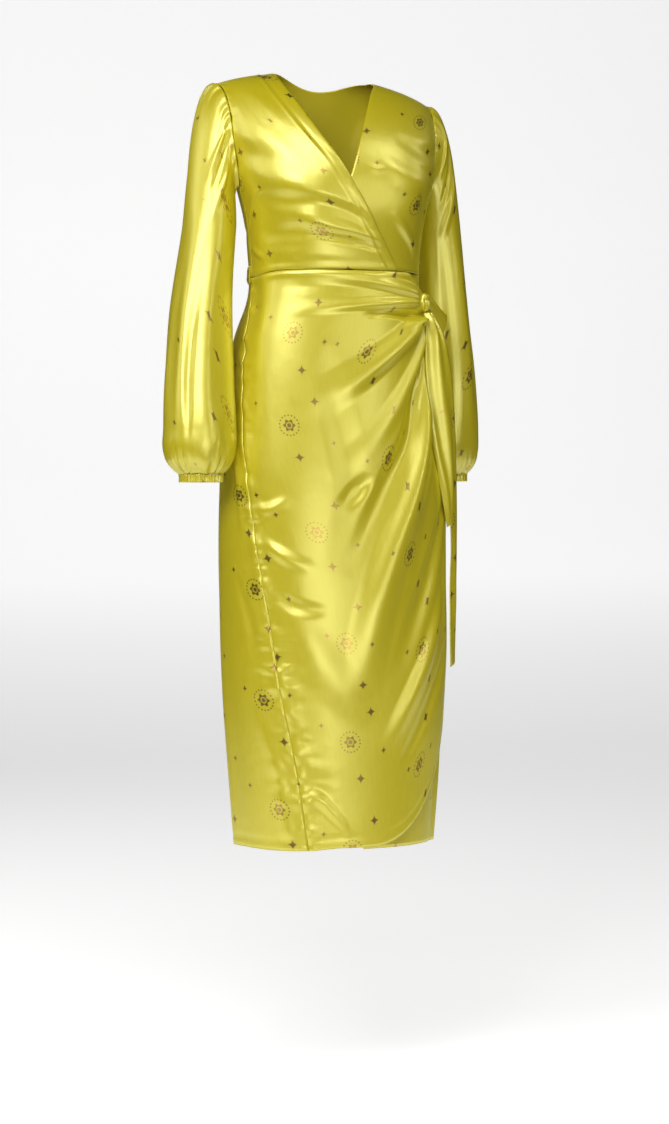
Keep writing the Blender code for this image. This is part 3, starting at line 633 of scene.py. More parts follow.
HEM_DEPTH, HEM_LINE, HEM_LINE_WIDTH = 0.016, 0.0008, 0.0020
UNDER_CLEAR, CLEAR_SOFTNESS, HIDDEN_SPREAD = 0.0012, 0.001, 8
EDGE_TUCK = 0.2


def skirt_level(hem, top, up, power=ROW_POWER):
    """Rows of the skirt, closer together near the waist."""
    return blend(hem, top, 1 - (1 - up) ** power)


def knot_folds(turn, level):
    """Height of the folds that leave the knot, in the skirt laid out flat."""
    right = np.radians(KNOT_TURN - turn) * UNROLL_RADIUS
    down = KNOT_LEVEL - level
    away = np.hypot(right, down)
    heading = np.degrees(np.arctan2(down, right))
    height = np.zeros_like(away)
    for near, far, reach, top, near_width, far_width, sharpness in zip(*KNOT_FOLDS.values()):
        share = np.clip(away / reach, 0, 1)
        offset = away * np.radians(heading - blend(near, far, share))
        width = blend(near_width, far_width, share)
        width = np.where(offset > 0, width * blend(sharpness, FOLD_FAR_SHARE, share), width)
        swell = ease((away - FOLD_START) / (FOLD_FULL - FOLD_START))
        swell = swell * (1 - ease(share)) ** FOLD_FADE_POWER
        height += top * swell * ease(1 - np.abs(offset) / width)
    return height


def right_seam(distance, level):
    """The ripples and the hollow beside the right side seam."""
    return pucker(distance, level, *RIGHT_SEAM_PUCKER) + seam_roll(distance, RIGHT_SEAM_DEPTH)


def skirt_unevenness(turn, level, sizes):
    return SKIRT_UNEVENNESS * waves(np.radians(turn) * SKIRT_RADIUS, level, *sizes)


def hem_line(above_hem):
    """The shallow line of stitches that holds the turned hem."""
    return -HEM_LINE * mound(above_hem - HEM_DEPTH, HEM_LINE_WIDTH)


def under_sink(turn, level):
    """How far the left front is drawn in where the right front hides it."""
    inside = read(FREE_EDGE, "turn", level) - UNDER_MARGIN - turn
    return UNDER_SINK * ease(inside / HIDDEN_SPREAD)


def skirt_over(across, up):
    corner = np.clip((across - CORNER_TURN_SHARE) / (1 - CORNER_TURN_SHARE), 0, 1)
    hem = HEM_LEVEL + OVER_HEM_RAISE * ease(across / OVER_HEM_RAISE_SHARE)
    hem = hem + CORNER_RISE * corner ** CORNER_POWER
    drawn = ease((across - KNOT_DRAW_START) / (1 - KNOT_DRAW_START))
    top = blend(WAIST_LEVEL - SEAM_GAP, KNOT_LEVEL, drawn)
    level = skirt_level(hem, top, up, blend(ROW_POWER, KNOT_ROW_POWER, across))
    seam = read(RIGHT_SEAM, "turn", level)
    turn = blend(seam - EDGE_TUCK, read(FREE_EDGE, "turn", level), across)
    from_seam = np.radians(turn - seam) * SKIRT_RADIUS
    height = OUTER_FACE + over_lift(turn, seam + UNDER_SKIRT_START)
    folds = knot_folds(turn, level) + fold_height(turn, level, SKIRT_OVER_FOLDS)
    away = np.hypot(np.radians(KNOT_TURN - turn) * UNROLL_RADIUS, KNOT_LEVEL - level)
    folds = folds + GATHER_SWELL * mound(away, GATHER_SPREAD) * ease(away / GATHER_START)
    height = height + folds * ease(across / SEAM_SMOOTH_SHARE)
    loose = ease(from_seam / RIGHT_SEAM_HOLD)
    height = height + skirt_unevenness(turn, level, UNEVEN_SKIRT) * loose
    height = height + right_seam(from_seam, level) + hem_line(level - hem)
    height = height + seam_roll(WAIST_LEVEL - level, SEAM_DEPTH, WAIST_SWELL) * (1 - drawn)
    lowest = OUTER_FACE + UNDER_CLEAR - under_sink(turn, level)
    sunk = np.maximum(lowest + CLEAR_SOFTNESS - height, 0)
    height = np.where(sunk > 0, lowest + CLEAR_SOFTNESS * np.exp(-sunk / CLEAR_SOFTNESS), height)
    return raised(turn, level, height)


skirt_front_over = panel("skirt_front_over", skirt_over, (158, 290))

# ------------------------------
# Skirt, left front. It wraps under the right front, with its own free edge inside, and is
# sewn in at the waist and the left side seam.
SHOWN_MARGIN = 6
LEFT_SEAM_PUCKER = (0.014, 0.016, 0.0016, 52)
SKIRT_UNDER_FOLDS = (
    ((62, -400, 0, 8), (66, -520, 3, 12), (72, -700, 4, 16), (78, -900, 0, 14)),
    ((80, -380, 0, 8), (82, -520, -3, 12), (84, -700, 0, 12)),
    ((60, -1000, 0, 10), (64, -1080, 3, 14), (62, -1176, 3, 14)),
)


def left_seam(distance, level):
    """The ripples and the hollow beside the left side seam."""
    return pucker(distance, level, *LEFT_SEAM_PUCKER) + seam_roll(distance)


def skirt_under(across, up):
    level = skirt_level(HEM_LEVEL, WAIST_LEVEL - SEAM_GAP, up)
    start = read(RIGHT_SEAM, "turn", level) + UNDER_SKIRT_START
    turn = blend(start, 90, across)
    from_side = np.radians(90 - turn) * SKIRT_RADIUS
    shown = ease((turn - read(FREE_EDGE, "turn", level) + SHOWN_MARGIN) / HIDDEN_SPREAD)
    height = OUTER_FACE - under_sink(turn, level) + fold_height(turn, level, SKIRT_UNDER_FOLDS) * shown
    return raised(turn, level, height + left_seam(from_side, level))


skirt_front_under = panel("skirt_front_under", skirt_under, (90, 220), print_shift=(0.290, 0.045))

# ------------------------------
# Skirt back. One piece of satin from side seam to side seam, hanging in soft plumb folds
# from the waist to a narrow turned hem.
UNEVEN_SKIRT_BACK = (0.070, 0.110, 61)
BACK_FOLDS = columns(
    ("turn", "top", "height", "width"),
    (128.0, -0.62, 0.005, 15.0), (163.0, -0.70, 0.004, 13.0), (197.0, -0.60, 0.006, 16.0),
    (231.0, -0.72, 0.004, 13.0), (266.0, -0.64, 0.005, 15.0),
)
SKIRT_BACK_FOLDS = (
    ((104, -340, 0, 8), (118, -420, 2.5, 12), (126, -520, 3, 16), (130, -640, 0, 16)),
    ((256, -336, 0, 8), (244, -410, 2.5, 12), (236, -510, 3, 16), (232, -640, 0, 16)),
    ((150, -560, 0, 12), (180, -590, -2.5, 18), (212, -566, 0, 12)),
    ((272, -500, 0, 8), (284, -560, 3.5, 12), (292, -640, 3, 12), (296, -720, 0, 10)),
    ((288, -760, 0, 10), (300, -830, -3, 14), (306, -920, 0, 12)),
    ((300, -960, 0, 12), (312, -1040, 3, 18), (318, -1150, 2, 18)),
    ((180, -640, 0, 14), (178, -800, -3, 18), (181, -1000, -3.5, 20), (180, -1178, -3, 20)),
)


def skirt_behind(across, up):
    level = skirt_level(HEM_LEVEL, WAIST_LEVEL - SEAM_GAP, up)
    seam = 360 + read(RIGHT_SEAM, "turn", level)
    turn = blend(90, seam, across)
    from_right, from_left = np.radians(seam - turn) * SKIRT_RADIUS, np.radians(turn - 90) * SKIRT_RADIUS
    height = np.full_like(turn, OUTER_FACE)
    for middle, top, depth, width in zip(*BACK_FOLDS.values()):
        swell = ease((top - level) / (top - HEM_LEVEL))
        height += depth * swell * ease(1 - np.abs(turn - middle) / width)
    loose = ease(from_right / RIGHT_SEAM_HOLD) * ease(from_left / RIGHT_SEAM_HOLD)
    height = height + fold_height(turn, level, SKIRT_BACK_FOLDS) * loose
    height = height + skirt_unevenness(turn, level, UNEVEN_SKIRT_BACK) * loose
    height = height + right_seam(from_right, level) + left_seam(from_left, level)
    height = height + seam_roll(WAIST_LEVEL - level) + hem_line(level - HEM_LEVEL)
    return raised(turn, level, height)


skirt_back = panel("skirt_back", skirt_behind, (150, 230), print_shift=(0.523, 0.091))

# ------------------------------
# Sleeves. Each is one long full piece with an underarm seam, eased into the armhole with a
# little fullness at the head, and gathered hard into its cuff at the wrist.
SLEEVE_HEAD_LEVEL = -0.240
SLEEVE_HEAD_SHARE = 0.34
CUFF_TOP_LEVEL = -0.6135
HEAD_REACH_TOP, HEAD_REACH_UNDERARM = 0.125, 0.035
HEAD_RISE_TOP, HEAD_RISE_UNDERARM = 0.15, -0.30
HEAD_ARRIVAL, SLEEVE_STEP = 0.12, 0.01
SLEEVE_UNROLL, SLEEVE_LENGTH, SLEEVE_ROW_POWER = 0.050, 0.6, 1.15
GATHERS, GATHER_HEIGHT, GATHER_DEPTH = 21, 0.066, 0.0056
GATHER_POWER, GATHER_BEND, GATHER_BEND_SIZE, GATHER_UNEVEN_SIZE = 1.2, 14, 3.0, 1.6
GATHER_HEIGHT_CHANGE, GATHER_DEPTH_CHANGE = 0.35, 0.25
CUFF_HOLD, CUFF_HOLD_START = 0.009, 0.003
EASE_HEIGHT, EASE_REACH, EASE_START, EASE_SIZE = 0.0020, 0.040, 0.006, 1.4
SLEEVE_UNEVENNESS, UNEVEN_SLEEVE = 0.0010, (0.039, 0.090)
PROBE_SHARE = 1e-3
SLEEVE = columns(
    ("level", "right_x", "right_y", "left_x", "left_y", "half_width", "half_depth"),
    (-0.200, -0.1910, -0.004, 0.181, 0.010, 0.0400, 0.047),
    (-0.240, -0.1965, -0.008, 0.186, 0.013, 0.0405, 0.048),
    (-0.380, -0.2150, -0.025, 0.2025, 0.030, 0.0470, 0.052),
    (-0.478, -0.2220, -0.040, 0.2145, 0.050, 0.0530, 0.056),
    (-0.544, -0.2240, -0.050, 0.2190, 0.058, 0.0550, 0.058),
    (-0.578, -0.2252, -0.052, 0.2190, 0.059, 0.0550, 0.056),
    (-0.596, -0.2248, -0.053, 0.2210, 0.060, 0.0500, 0.050),
    (-0.607, -0.2242, -0.054, 0.2225, 0.060, 0.0420, 0.042),
    (-0.6135, -0.2237, -0.055, 0.2240, 0.060, 0.0345, 0.0335),
    (-0.6300, -0.2235, -0.055, 0.2245, 0.060, 0.0330, 0.0320),
)
# Folds of the sleeves. Their turns go round the arm from its outer side, with 90 in front.
SLEEVE_FOLDS = {
    "right": (
        ((48, -200, 0, 18), (45, -320, 1.5, 22), (43, -430, 2.5, 20), (40, -570, 0, 14)),
        ((70, -230, 0, 20), (62, -310, -1.5, 18), (56, -390, -3, 13), (53, -480, -4, 9), (54, -575, 0, 7)),
        ((86, -300, 0, 16), (80, -400, 2, 22), (78, -490, 3, 22), (84, -575, 0, 14)),
        ((116, -260, 0, 16), (110, -400, -2, 22), (112, -560, 0, 14)),
        ((20, -280, 0, 16), (14, -430, -2.5, 20), (18, -570, 0, 12)),
        ((140, -260, 0, 16), (147, -400, 2.5, 20), (142, -550, 0, 14)),
        ((204, -240, 0, 14), (196, -380, -4.5, 20), (202, -550, 0, 14)),
        ((262, -200, 0, 12), (268, -360, -4, 18), (260, -560, 0, 12)),
        ((318, -160, 0, 12), (322, -360, 3.5, 20), (314, -550, 0, 14)),
        ((114, -86, 0, 5), (99, -104, 3, 8), (80, -134, 3, 10), (60, -168, 0, 8)),
        ((122, -110, 0, 5), (106, -130, -2.5, 7), (86, -160, -3, 9), (70, -192, 0, 8)),
        ((128, -140, 0, 5), (112, -162, 2.5, 7), (92, -192, 2.5, 9), (76, -228, 0, 8)),
        ((258, -92, 0, 6), (276, -120, 2.5, 9), (296, -154, 2.5, 10), (312, -190, 0, 8)),
    ),
    "left": (
        ((104, -220, 0, 12), (97, -340, -3.5, 17), (92, -460, -4.5, 15), (97, -565, 0, 10)),
        ((70, -190, 0, 12), (62, -330, 3, 17), (60, -460, 3.5, 16), (66, -560, 0, 12)),
        ((36, -220, 0, 12), (29, -360, -3, 16), (32, -480, -3.5, 14), (28, -570, 0, 10)),
        ((140, -200, 0, 12), (133, -350, 3, 18), (138, -500, 3, 16), (134, -570, 0, 10)),
        ((176, -260, 0, 14), (170, -400, -4, 18), (178, -550, 0, 12)),
        ((216, -230, 0, 14), (224, -380, 3.5, 20), (218, -540, 0, 14)),
        ((262, -210, 0, 12), (254, -370, -4, 18), (260, -560, 0, 12)),
        ((300, -180, 0, 12), (306, -340, 3, 18), (300, -520, 0, 14)),
        ((340, -200, 0, 12), (336, -360, -3.5, 16), (342, -560, 0, 10)),
        ((58, -50, 0, 6), (72, -88, 3, 9), (92, -120, 3, 9), (113, -150, 0, 7)),
        ((50, -80, 0, 7), (66, -126, -3, 9), (88, -164, -3, 10), (109, -200, 0, 8)),
        ((44, -120, 0, 9), (60, -166, 3, 12), (84, -210, 3, 12), (104, -250, 0, 10)),
        ((300, -70, 0, 7), (284, -106, 2.5, 9), (262, -140, 2.5, 9), (246, -168, 0, 7)),
    ),
}


def sleeve_axis(side, level):
    name = "right" if side < 0 else "left"
    return [read(SLEEVE, column, level)
            for column in (name + "_x", name + "_y", "half_width", "half_depth")]


def sleeve_ring(side, around, level, out=0.0):
    """A point of a sleeve: around is 0 on its outer side and 90 in front."""
    x, y, half_width, half_depth = sleeve_axis(side, level)
    cosine, sine = np.cos(np.radians(around)), np.sin(np.radians(around))
    x = x + side * (half_width + out) * cosine
    y = y - (half_depth + out) * sine
    return np.stack([x, y, level + 0 * x], axis=-1)


def armhole_point(side, around):
    """A point of the sleeve's seam round the armhole, from the shoulder down the front."""
    climb = np.abs(1 - (around % 360) / 180)
    level = UNDERARM_LEVEL * (1 - climb)
    front = read(ARMHOLE, "front", climb)
    back = 180 - read(ARMHOLE, "back", climb)
    turn = side * np.where(around % 360 < 180, front, back)
    point = raised(turn, level, np.full_like(turn, OUTER_FACE))
    point[..., 0] += side * SEAM_GAP
    return point


def sleeve(side):
    seed = 71 if side < 0 else 81
    folds = SLEEVE_FOLDS["right" if side < 0 else "left"]

    def surface(across, down):
        around = 360 * across * side
        head = np.clip(down / SLEEVE_HEAD_SHARE, 0, 1)
        seam = armhole_point(side, around)
        first = sleeve_ring(side, around, np.full_like(around, SLEEVE_HEAD_LEVEL))
        second = sleeve_ring(side, around, np.full_like(around, SLEEVE_HEAD_LEVEL - SLEEVE_STEP))
        top = (1 + np.cos(np.radians(around))) / 2
        reach = blend(HEAD_REACH_UNDERARM, HEAD_REACH_TOP, top)
        rise = blend(HEAD_RISE_UNDERARM, HEAD_RISE_TOP, top)
        leave = np.stack([side * reach, 0 * reach, rise * reach], axis=-1)
        arrive = (second - first) * HEAD_ARRIVAL / SLEEVE_STEP
        share = head[..., None]
        turned = (seam * (1 - 3 * share ** 2 + 2 * share ** 3)
                  + leave * (share - 2 * share ** 2 + share ** 3)
                  + first * (3 * share ** 2 - 2 * share ** 3)
                  + arrive * (share ** 3 - share ** 2))
        length = np.clip((down - SLEEVE_HEAD_SHARE) / (1 - SLEEVE_HEAD_SHARE), 0, 1)
        level = blend(SLEEVE_HEAD_LEVEL, CUFF_TOP_LEVEL, 1 - (1 - length) ** SLEEVE_ROW_POWER)
        hanging = sleeve_ring(side, around, level)
        return np.where((down < SLEEVE_HEAD_SHARE)[..., None], turned, hanging)

    def place(across, down):
        points = surface(across, down)
        level = points[..., 2]
        around = (360 * across * side) % 360
        over = surface(across + PROBE_SHARE, down) - surface(across - PROBE_SHARE, down)
        along = surface(across, np.minimum(down + PROBE_SHARE, 1))
        along = along - surface(across, np.maximum(down - PROBE_SHARE, 0))
        normal = np.cross(over, along)
        normal = normal / np.linalg.norm(normal, axis=-1, keepdims=True)
        height = np.zeros_like(level)
        for whole_turn in (-360, 0, 360):
            height += fold_height(around + whole_turn, level, folds, SLEEVE_UNROLL)
        ring = around / 360 * LATTICE
        bend = GATHER_BEND * waves(ring, 0 * level, GATHER_BEND_SIZE, 1.0, seed)
        uneven = waves(ring, 0 * level, GATHER_UNEVEN_SIZE, 1.0, seed + 1)
        reach = GATHER_HEIGHT * (1 - GATHER_HEIGHT_CHANGE + GATHER_HEIGHT_CHANGE * uneven)
        near_cuff = 1 - np.clip((level - CUFF_TOP_LEVEL) / reach, 0, 1)
        gather = (1 + np.cos(np.radians(around + bend) * GATHERS)) / 2
        gather = gather * (1 - GATHER_DEPTH_CHANGE + GATHER_DEPTH_CHANGE * uneven)
        held = ease((level - CUFF_TOP_LEVEL + CUFF_HOLD_START) / CUFF_HOLD)
        height -= GATHER_DEPTH * near_cuff ** GATHER_POWER * gather * held
        from_armhole = down * SLEEVE_LENGTH
        height += seam_roll(from_armhole)
        ease_in = waves(ring, 0 * level, EASE_SIZE, 1.0, seed + 2)
        height += EASE_HEIGHT * ease_in * mound(from_armhole, EASE_REACH) * ease(from_armhole / EASE_START)
        unroll = np.radians(around) * SLEEVE_UNROLL
        height += SLEEVE_UNEVENNESS * waves(unroll, level, *UNEVEN_SLEEVE, seed + 3)
        return points + normal * height[..., None]
    return place


for side, name, shift in ((-1, "right", (0.02, 0.12)), (1, "left", (0.33, 0.21))):
    tube = panel("sleeve_" + name, sleeve(side), (168, 200), tube=True, print_shift=shift)

# ------------------------------
# Cuffs. A narrow casing with elastic inside, which draws the sleeve's end into tight ruffles
# and stands on the wrist.
CUFF_HEIGHT = 0.012
CUFF_RUFFLES, RUFFLE_HEIGHT, RUFFLE_TOP_SHARE, RUFFLE_BEND = 34, 0.0015, 0.7, 9
DOUBLE_WALL = 0.0016
CUFF_ROUNDNESS, CUFF_ROUND_POWER, CUFF_TIGHTNESS = 0.0012, 0.6, 0.0006


def cuff(side):
    seed = 91 if side < 0 else 95

    def place(across, down):
        level = CUFF_TOP_LEVEL - SEAM_GAP - down * CUFF_HEIGHT
        around = 360 * across * side
        bend = RUFFLE_BEND * waves((around % 360) / 360 * LATTICE, 0 * level, 2.0, 1.0, seed)
        ruffle = np.cos(np.radians(around + bend) * CUFF_RUFFLES)
        out = RUFFLE_HEIGHT * ruffle * blend(RUFFLE_TOP_SHARE, 1, down)
        out = out + CUFF_ROUNDNESS * np.sin(math.pi * down) ** CUFF_ROUND_POWER
        return sleeve_ring(side, around, level, out - CUFF_TIGHTNESS)
    return place


for side, name in ((-1, "right"), (1, "left")):
    band = panel("cuff_" + name, cuff(side), (272, 12), tube=True, wall=DOUBLE_WALL)

# ------------------------------
# Tie. A folded band of the same satin leaves the right side seam and goes round the back of
# the waist to the knot. It lies over the waist seam and is held by its own pull.
BAND_START_TURN, BAND_END_TURN = 67.0, 268.0
BAND_START_LEVEL, BAND_END_LEVEL, BAND_RISE_SHARE = -0.345, -0.300, 0.35
BAND_HALF_WIDTH = 0.013
BAND_HEIGHT, BAND_EDGE_DROP = 0.0052, 0.0012
BAND_UNEVENNESS, UNEVEN_BAND = 0.0010, (0.045, 0.006, 101)


def tie_band(across, up):
    turn = blend(BAND_START_TURN, BAND_END_TURN, across)
    middle = blend(BAND_START_LEVEL, BAND_END_LEVEL, ease(across / BAND_RISE_SHARE))
    span = 2 * up - 1
    level = middle + BAND_HALF_WIDTH * span
    height = BAND_HEIGHT - BAND_EDGE_DROP * span ** 4
    height = height + BAND_UNEVENNESS * waves(np.radians(turn) * SKIRT_RADIUS, level, *UNEVEN_BAND)
    return raised(turn, level, height)


tie_back = panel("tie_back", tie_band, (150, 16), wall=DOUBLE_WALL, print_shift=(0.07, 0.05))

# ------------------------------
# Knot, flap and free ends. One end of the tie passes over the other, its flap turns out to
# the side, and both ends hang down over the left of the skirt, cut off at a slant.
KNOT_SIZE = (0.0115, 0.0095, 0.0145)
KNOT_FRONT_TURN, KNOT_STAND_OFF = 49.0, 0.0006
TAIL_COLUMNS = ("level", "x", "y", "half_width", "facing", "cup")
TAIL_FRONT = columns(
    TAIL_COLUMNS,
    (-0.3654, 0.1240, -0.1085, 0.0080, 30.0, 0.0010),
    (-0.3760, 0.1268, -0.1100, 0.0105, 30.0, 0.0025),
    (-0.3900, 0.1310, -0.1105, 0.0160, 30.0, 0.0035),
    (-0.4450, 0.1410, -0.1042, 0.0250, 27.0, 0.0050),
    (-0.5100, 0.1480, -0.0990, 0.0258, 24.0, 0.0060),
    (-0.5800, 0.1559, -0.0956, 0.0215, 28.0, 0.0050),
    (-0.6400, 0.1627, -0.0909, 0.0146, 40.0, 0.0035),
    (-0.6900, 0.1698, -0.0822, 0.0090, 50.0, 0.0020),
)
TAIL_BACK = columns(
    TAIL_COLUMNS,
    (-0.3620, 0.1301, -0.0940, 0.0060, 50.0, 0.0010),
    (-0.3800, 0.1431, -0.0810, 0.0085, 54.0, 0.0025),
    (-0.4200, 0.1620, -0.0650, 0.0140, 62.0, 0.0030),
    (-0.5000, 0.1780, -0.0500, 0.0190, 72.0, 0.0040),
    (-0.6200, 0.1862, -0.0450, 0.0210, 76.0, 0.0040),
    (-0.7600, 0.1872, -0.0450, 0.0220, 78.0, 0.0040),
    (-0.9080, 0.1872, -0.0460, 0.0220, 76.0, 0.0030),
)
EAR = columns(
    ("along", "x", "y", "z", "half_width"),
    (0.0, 0.1283, -0.1014, -0.3490, 0.0088), (0.4, 0.1430, -0.0925, -0.3612, 0.0105),
    (0.8, 0.1575, -0.0830, -0.3782, 0.0158), (1.0, 0.1641, -0.0780, -0.3870, 0.0200),
)
EAR_LEAN = (-0.22, 0.02, -0.97)
TAIL_SLANT, TAIL_TURN = 0.006, 11.0
CUP_SHARE, TAIL_STAND_OFF = 1.7, 0.0025
TAIL_PLEAT, PLEAT_SPAN, PLEAT_START, PLEAT_DRIFT = 0.0020, 6.6, 0.9, 14
END_FADE, PLEAT_END_FADE, PLEAT_EDGE, PLEAT_EDGE_FADE = 8, 5, 1.02, 6
TAIL_UNEVENNESS, UNEVEN_TAIL = 0.0014, (0.42, 0.080)
TOP_PLEAT, TOP_PLEAT_SPAN, TOP_PLEAT_REACH, TOP_PLEAT_START = 0.0018, 7.5, 0.060, 0.012
EAR_BOW, EAR_STAND_OFF, EAR_UNEVENNESS, UNEVEN_EAR = 0.0035, 0.0012, 0.0022, (0.5, 0.9, 121)


def tail(table, seed):
    def place(across, up):
        level = blend(table["level"][0], table["level"][-1], up)
        facing = np.radians(read(table, "facing", level) - TAIL_TURN)
        span = 2 * across - 1
        width = span * read(table, "half_width", level)
        bow = CUP_SHARE * read(table, "cup", level) * (1 - span * span) + TAIL_STAND_OFF
        bow = bow + TAIL_UNEVENNESS * waves(span + 0 * level, level, *UNEVEN_TAIL, seed) * ease(up * END_FADE)
        pleat = np.cos(PLEAT_SPAN * span + PLEAT_START + PLEAT_DRIFT * level)
        pleat = pleat * ease(up * PLEAT_END_FADE) * ease((PLEAT_EDGE - np.abs(span)) * PLEAT_EDGE_FADE)
        bow = bow + TAIL_PLEAT * pleat
        below = table["level"][-1] - level
        pleat = np.cos(span * TOP_PLEAT_SPAN) * ease(below / TOP_PLEAT_START)
        bow = bow + TOP_PLEAT * pleat * mound(below, TOP_PLEAT_REACH)
        x = read(table, "x", level) + width * np.cos(facing) + bow * np.sin(facing)
        y = read(table, "y", level) + width * np.sin(facing) - bow * np.cos(facing)
        slant = TAIL_SLANT * span * (1 - up)
        return np.stack([x, y, level + slant], axis=-1)
    return place


def ear(across, along):
    span = 2 * across - 1
    width = span * read(EAR, "half_width", along)
    bow = EAR_BOW * (1 - span * span) + EAR_STAND_OFF + EAR_UNEVENNESS * waves(span, along, *UNEVEN_EAR)
    x = read(EAR, "x", along) + width * EAR_LEAN[0]
    y = read(EAR, "y", along) + width * EAR_LEAN[1] - bow
    z = read(EAR, "z", along) + width * EAR_LEAN[2]
    return np.stack([x, y, z], axis=-1)


# Grooves between the pleats of the knot: place across it, depth and width as shares of its size.
KNOT_GROOVES = ((-0.56, 0.26, 0.16), (-0.06, 0.34, 0.15), (0.40, 0.22, 0.13), (0.76, 0.24, 0.12))
# The rolled edge over its top and the hollow under it: place up it, height and width.
KNOT_ROLLS = ((0.60, 1.0, 0.20), (0.22, -1.2, 0.16))
ROLL_HEIGHT, ROLL_LEAN = 0.15, 0.12
ROLL_LEFT, ROLL_LEFT_FADE, ROLL_RIGHT, ROLL_RIGHT_FADE = -0.85, 0.5, 0.95, 0.4
GROOVE_BEND, GROOVE_LEAN, GROOVE_TOP, GROOVE_FADE, FRONT_SHARE = 0.30, 0.12, 0.45, 0.35, 0.6
BAND_CLEAR = 0.0051


def knot_surface(across, up):
    """A gathered bundle: one end rolls over the top of the other and goes down in pleats."""
    turn, level = np.array(KNOT_FRONT_TURN), np.array(KNOT_LEVEL)
    middle = raised(turn, level, BAND_CLEAR + KNOT_STAND_OFF + KNOT_SIZE[1])
    out = outward(turn, level)
    side = np.cross(out, (0, 0, 1))
    side = side / np.linalg.norm(side)
    upward = np.cross(side, out)
    longitude, latitude = 2 * math.pi * across, math.pi * (up - 0.5)
    x, y, z = np.cos(latitude) * np.sin(longitude), -np.cos(latitude) * np.cos(longitude), np.sin(latitude)
    bent = x + GROOVE_BEND * z * z - GROOVE_LEAN * z
    pleated = np.zeros_like(x)
    for place, depth, width in KNOT_GROOVES:
        pleated -= depth * mound(bent - place, width)
    roll = np.zeros_like(x)
    for place, tall, width in KNOT_ROLLS:
        roll += tall * mound(z - place - ROLL_LEAN * x, width)
    roll = roll * ease((x - ROLL_LEFT) / ROLL_LEFT_FADE) * ease((ROLL_RIGHT - x) / ROLL_RIGHT_FADE)
    pleated = pleated * ease((GROOVE_TOP - z) / GROOVE_FADE)
    swell = 1 + ease(FRONT_SHARE - y) * (pleated + ROLL_HEIGHT * roll)
    return (middle + side * (x * KNOT_SIZE[0] * swell)[..., None]
            - out * (y * KNOT_SIZE[1] * swell)[..., None]
            + upward * (z * KNOT_SIZE[2] * swell)[..., None])


tail_front = panel("tie_tail_front", tail(TAIL_FRONT, 111), (24, 130), wall=DOUBLE_WALL,
                   print_shift=(0.05, 0.09))
tail_back = panel("tie_tail_back", tail(TAIL_BACK, 112), (24, 180), wall=DOUBLE_WALL,
                  print_shift=(0.11, 0.02))
flap = panel("tie_ear", ear, (22, 34), wall=DOUBLE_WALL, print_shift=(0.16, 0.11))
panel("tie_knot", knot_surface, (96, 72), wall=0.0, tube=True)

# ------------------------------
# Stage, light and camera. A pale paper floor that sweeps up behind and fades to dark in front,
# so that the satin keeps its deep shades, with eight soft lamps and a level camera.
FLOOR_LEVEL = -1.56
PAPER_HALF_WIDTH, PAPER_SLANT = 2.1, 0.364
PAPER_WHITE, PAPER_ROUGHNESS = 0.86, 0.9
FLOOR_GLOW, WALL_GLOW, GLOW_RISE = 0.54, 0.74, 0.5
FADE_START, FADE_END, FADE_SHARE = -0.6, -1.3, 0.06
SWEEP = ((-7.0, 0.0), (4.6, 0.0), (6.0, 0.25), (7.0, 0.9), (7.6, 2.0), (7.8, 4.8))


def pale_paper():
    """White paper with a faint glow of its own, which darkens towards the front."""
    material = bpy.data.materials.new("pale_paper")
    material.use_nodes = True
    tree = material.node_tree
    shader = tree.nodes["Principled BSDF"]
    shader.inputs["Roughness"].default_value = PAPER_ROUGHNESS
    shader.inputs["Emission Color"].default_value = (1, 1, 1, 1)
    where = shader_node(tree, "TexCoord")
    split = shader_node(tree, "SeparateXYZ")
    glow = shader_node(tree, "MapRange", {"From Min": FLOOR_LEVEL, "From Max": FLOOR_LEVEL + GLOW_RISE,
                                          "To Min": FLOOR_GLOW, "To Max": WALL_GLOW})
    fade = shader_node(tree, "MapRange", {"From Min": FADE_END, "From Max": FADE_START,
                                          "To Min": FADE_SHARE})
    tree.links.new(where.outputs["Object"], split.inputs[0])
    tree.links.new(split.outputs["Z"], glow.inputs["Value"])
    tree.links.new(split.outputs["Y"], fade.inputs["Value"])
    fading = Wired(tree, fade.outputs[0])
    (fading * PAPER_WHITE).to(shader.inputs["Base Color"])
    (fading * Wired(tree, glow.outputs[0])).to(shader.inputs["Emission Strength"])
    return material


sweep_mesh = bpy.data.meshes.new("floor_sweep")
sweep_points = [(side * PAPER_HALF_WIDTH + PAPER_SLANT * y, y, FLOOR_LEVEL + z)
                for y, z in SWEEP for side in (-1, 1)]
sweep_faces = [(2 * row, 2 * row + 1, 2 * row + 3, 2 * row + 2) for row in range(len(SWEEP) - 1)]
sweep_mesh.from_pydata(sweep_points, [], sweep_faces)
sweep_mesh.shade_smooth()
sweep_mesh.materials.append(pale_paper())
floor = bpy.data.objects.new("floor_sweep", sweep_mesh)
bpy.context.scene.collection.objects.link(floor)

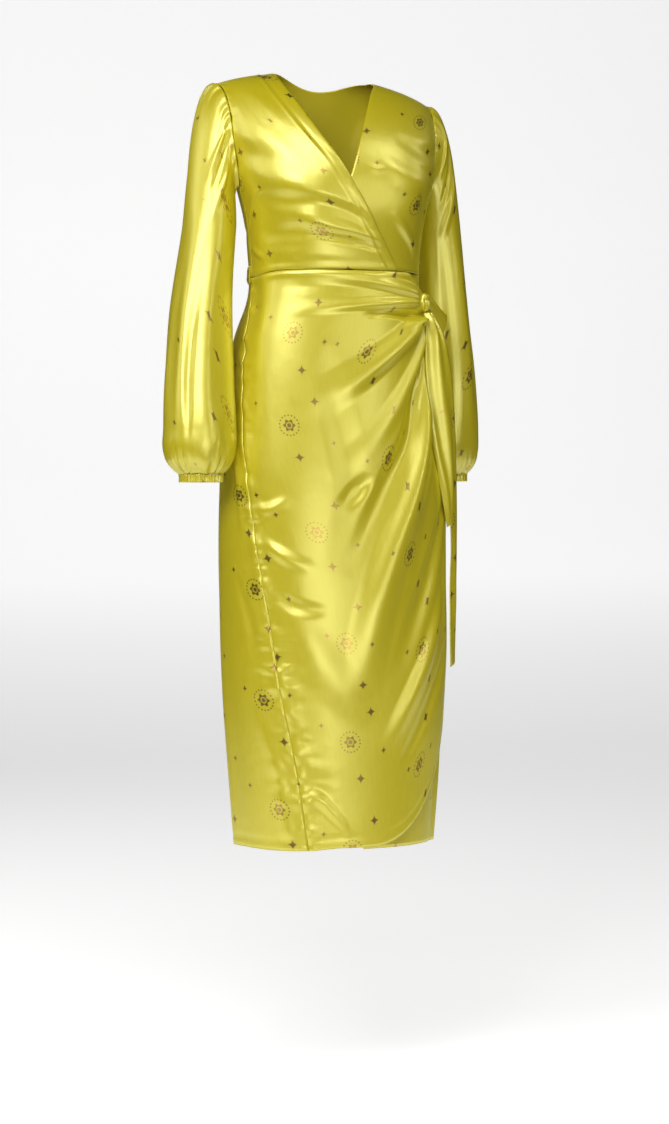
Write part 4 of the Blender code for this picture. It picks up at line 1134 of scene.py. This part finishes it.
# Soft lamps: bearing from the front towards the left, rise, distance, width, height and watts.
LAMPS = (
    ("key", -47, 27, 3.4, 2.2, 1.4, 68.0),
    ("high_front", -20, 46, 3.4, 1.2, 1.2, 37.0),
    ("high_left", 48, 44, 3.4, 0.5, 0.5, 9.0),
    ("far_side", -100, 22, 3.2, 1.3, 1.4, 12.0),
    ("strip", 27, 10, 3.4, 0.32, 1.8, 11.0),
    ("left_side", 84, 32, 3.2, 0.5, 0.5, 3.0),
    ("low_front", -3, -8, 3.4, 1.5, 1.1, 19.0),
    ("behind", -168, 34, 3.4, 1.3, 1.0, 16.0),
)
MIDDLE = Vector((0, 0, -0.55))
for name, bearing, rise, distance, width, height, power in LAMPS:
    lamp = bpy.data.lights.new(name, "AREA")
    lamp.shape = "RECTANGLE"
    lamp.size = width
    lamp.size_y = height
    lamp.energy = power
    stand = bpy.data.objects.new(name, lamp)
    bearing, rise = math.radians(bearing), math.radians(rise)
    away = Vector((math.sin(bearing) * math.cos(rise), -math.cos(bearing) * math.cos(rise), math.sin(rise)))
    stand.location = MIDDLE + away * distance
    stand.rotation_euler = away.to_track_quat("Z", "Y").to_euler()
    bpy.context.scene.collection.objects.link(stand)

WORLD_STRENGTH = 0.025
world = bpy.data.worlds.new("studio")
world.use_nodes = True
background = world.node_tree.nodes["Background"]
background.inputs["Color"].default_value = (1, 1, 1, 1)
background.inputs["Strength"].default_value = WORLD_STRENGTH
bpy.context.scene.world = world
bpy.context.scene.view_settings.view_transform = "Standard"

CAMERA_PLACE, CAMERA_TILT, CAMERA_BEARING = (-1.4364, -3.948, -0.60), 90, -20
SENSOR_WIDTH, LENS_LENGTH, LENS_SHIFT_ASIDE, LENS_SHIFT_UP = 36.0, 86.4, 0.0058, -0.086
lens = bpy.data.cameras.new("camera")
lens.sensor_width = SENSOR_WIDTH
lens.lens = LENS_LENGTH
lens.shift_x = LENS_SHIFT_ASIDE
lens.shift_y = LENS_SHIFT_UP
camera = bpy.data.objects.new("camera", lens)
camera.location = CAMERA_PLACE
camera.rotation_euler = (math.radians(CAMERA_TILT), 0, math.radians(CAMERA_BEARING))
bpy.context.scene.collection.objects.link(camera)
bpy.context.scene.camera = camera
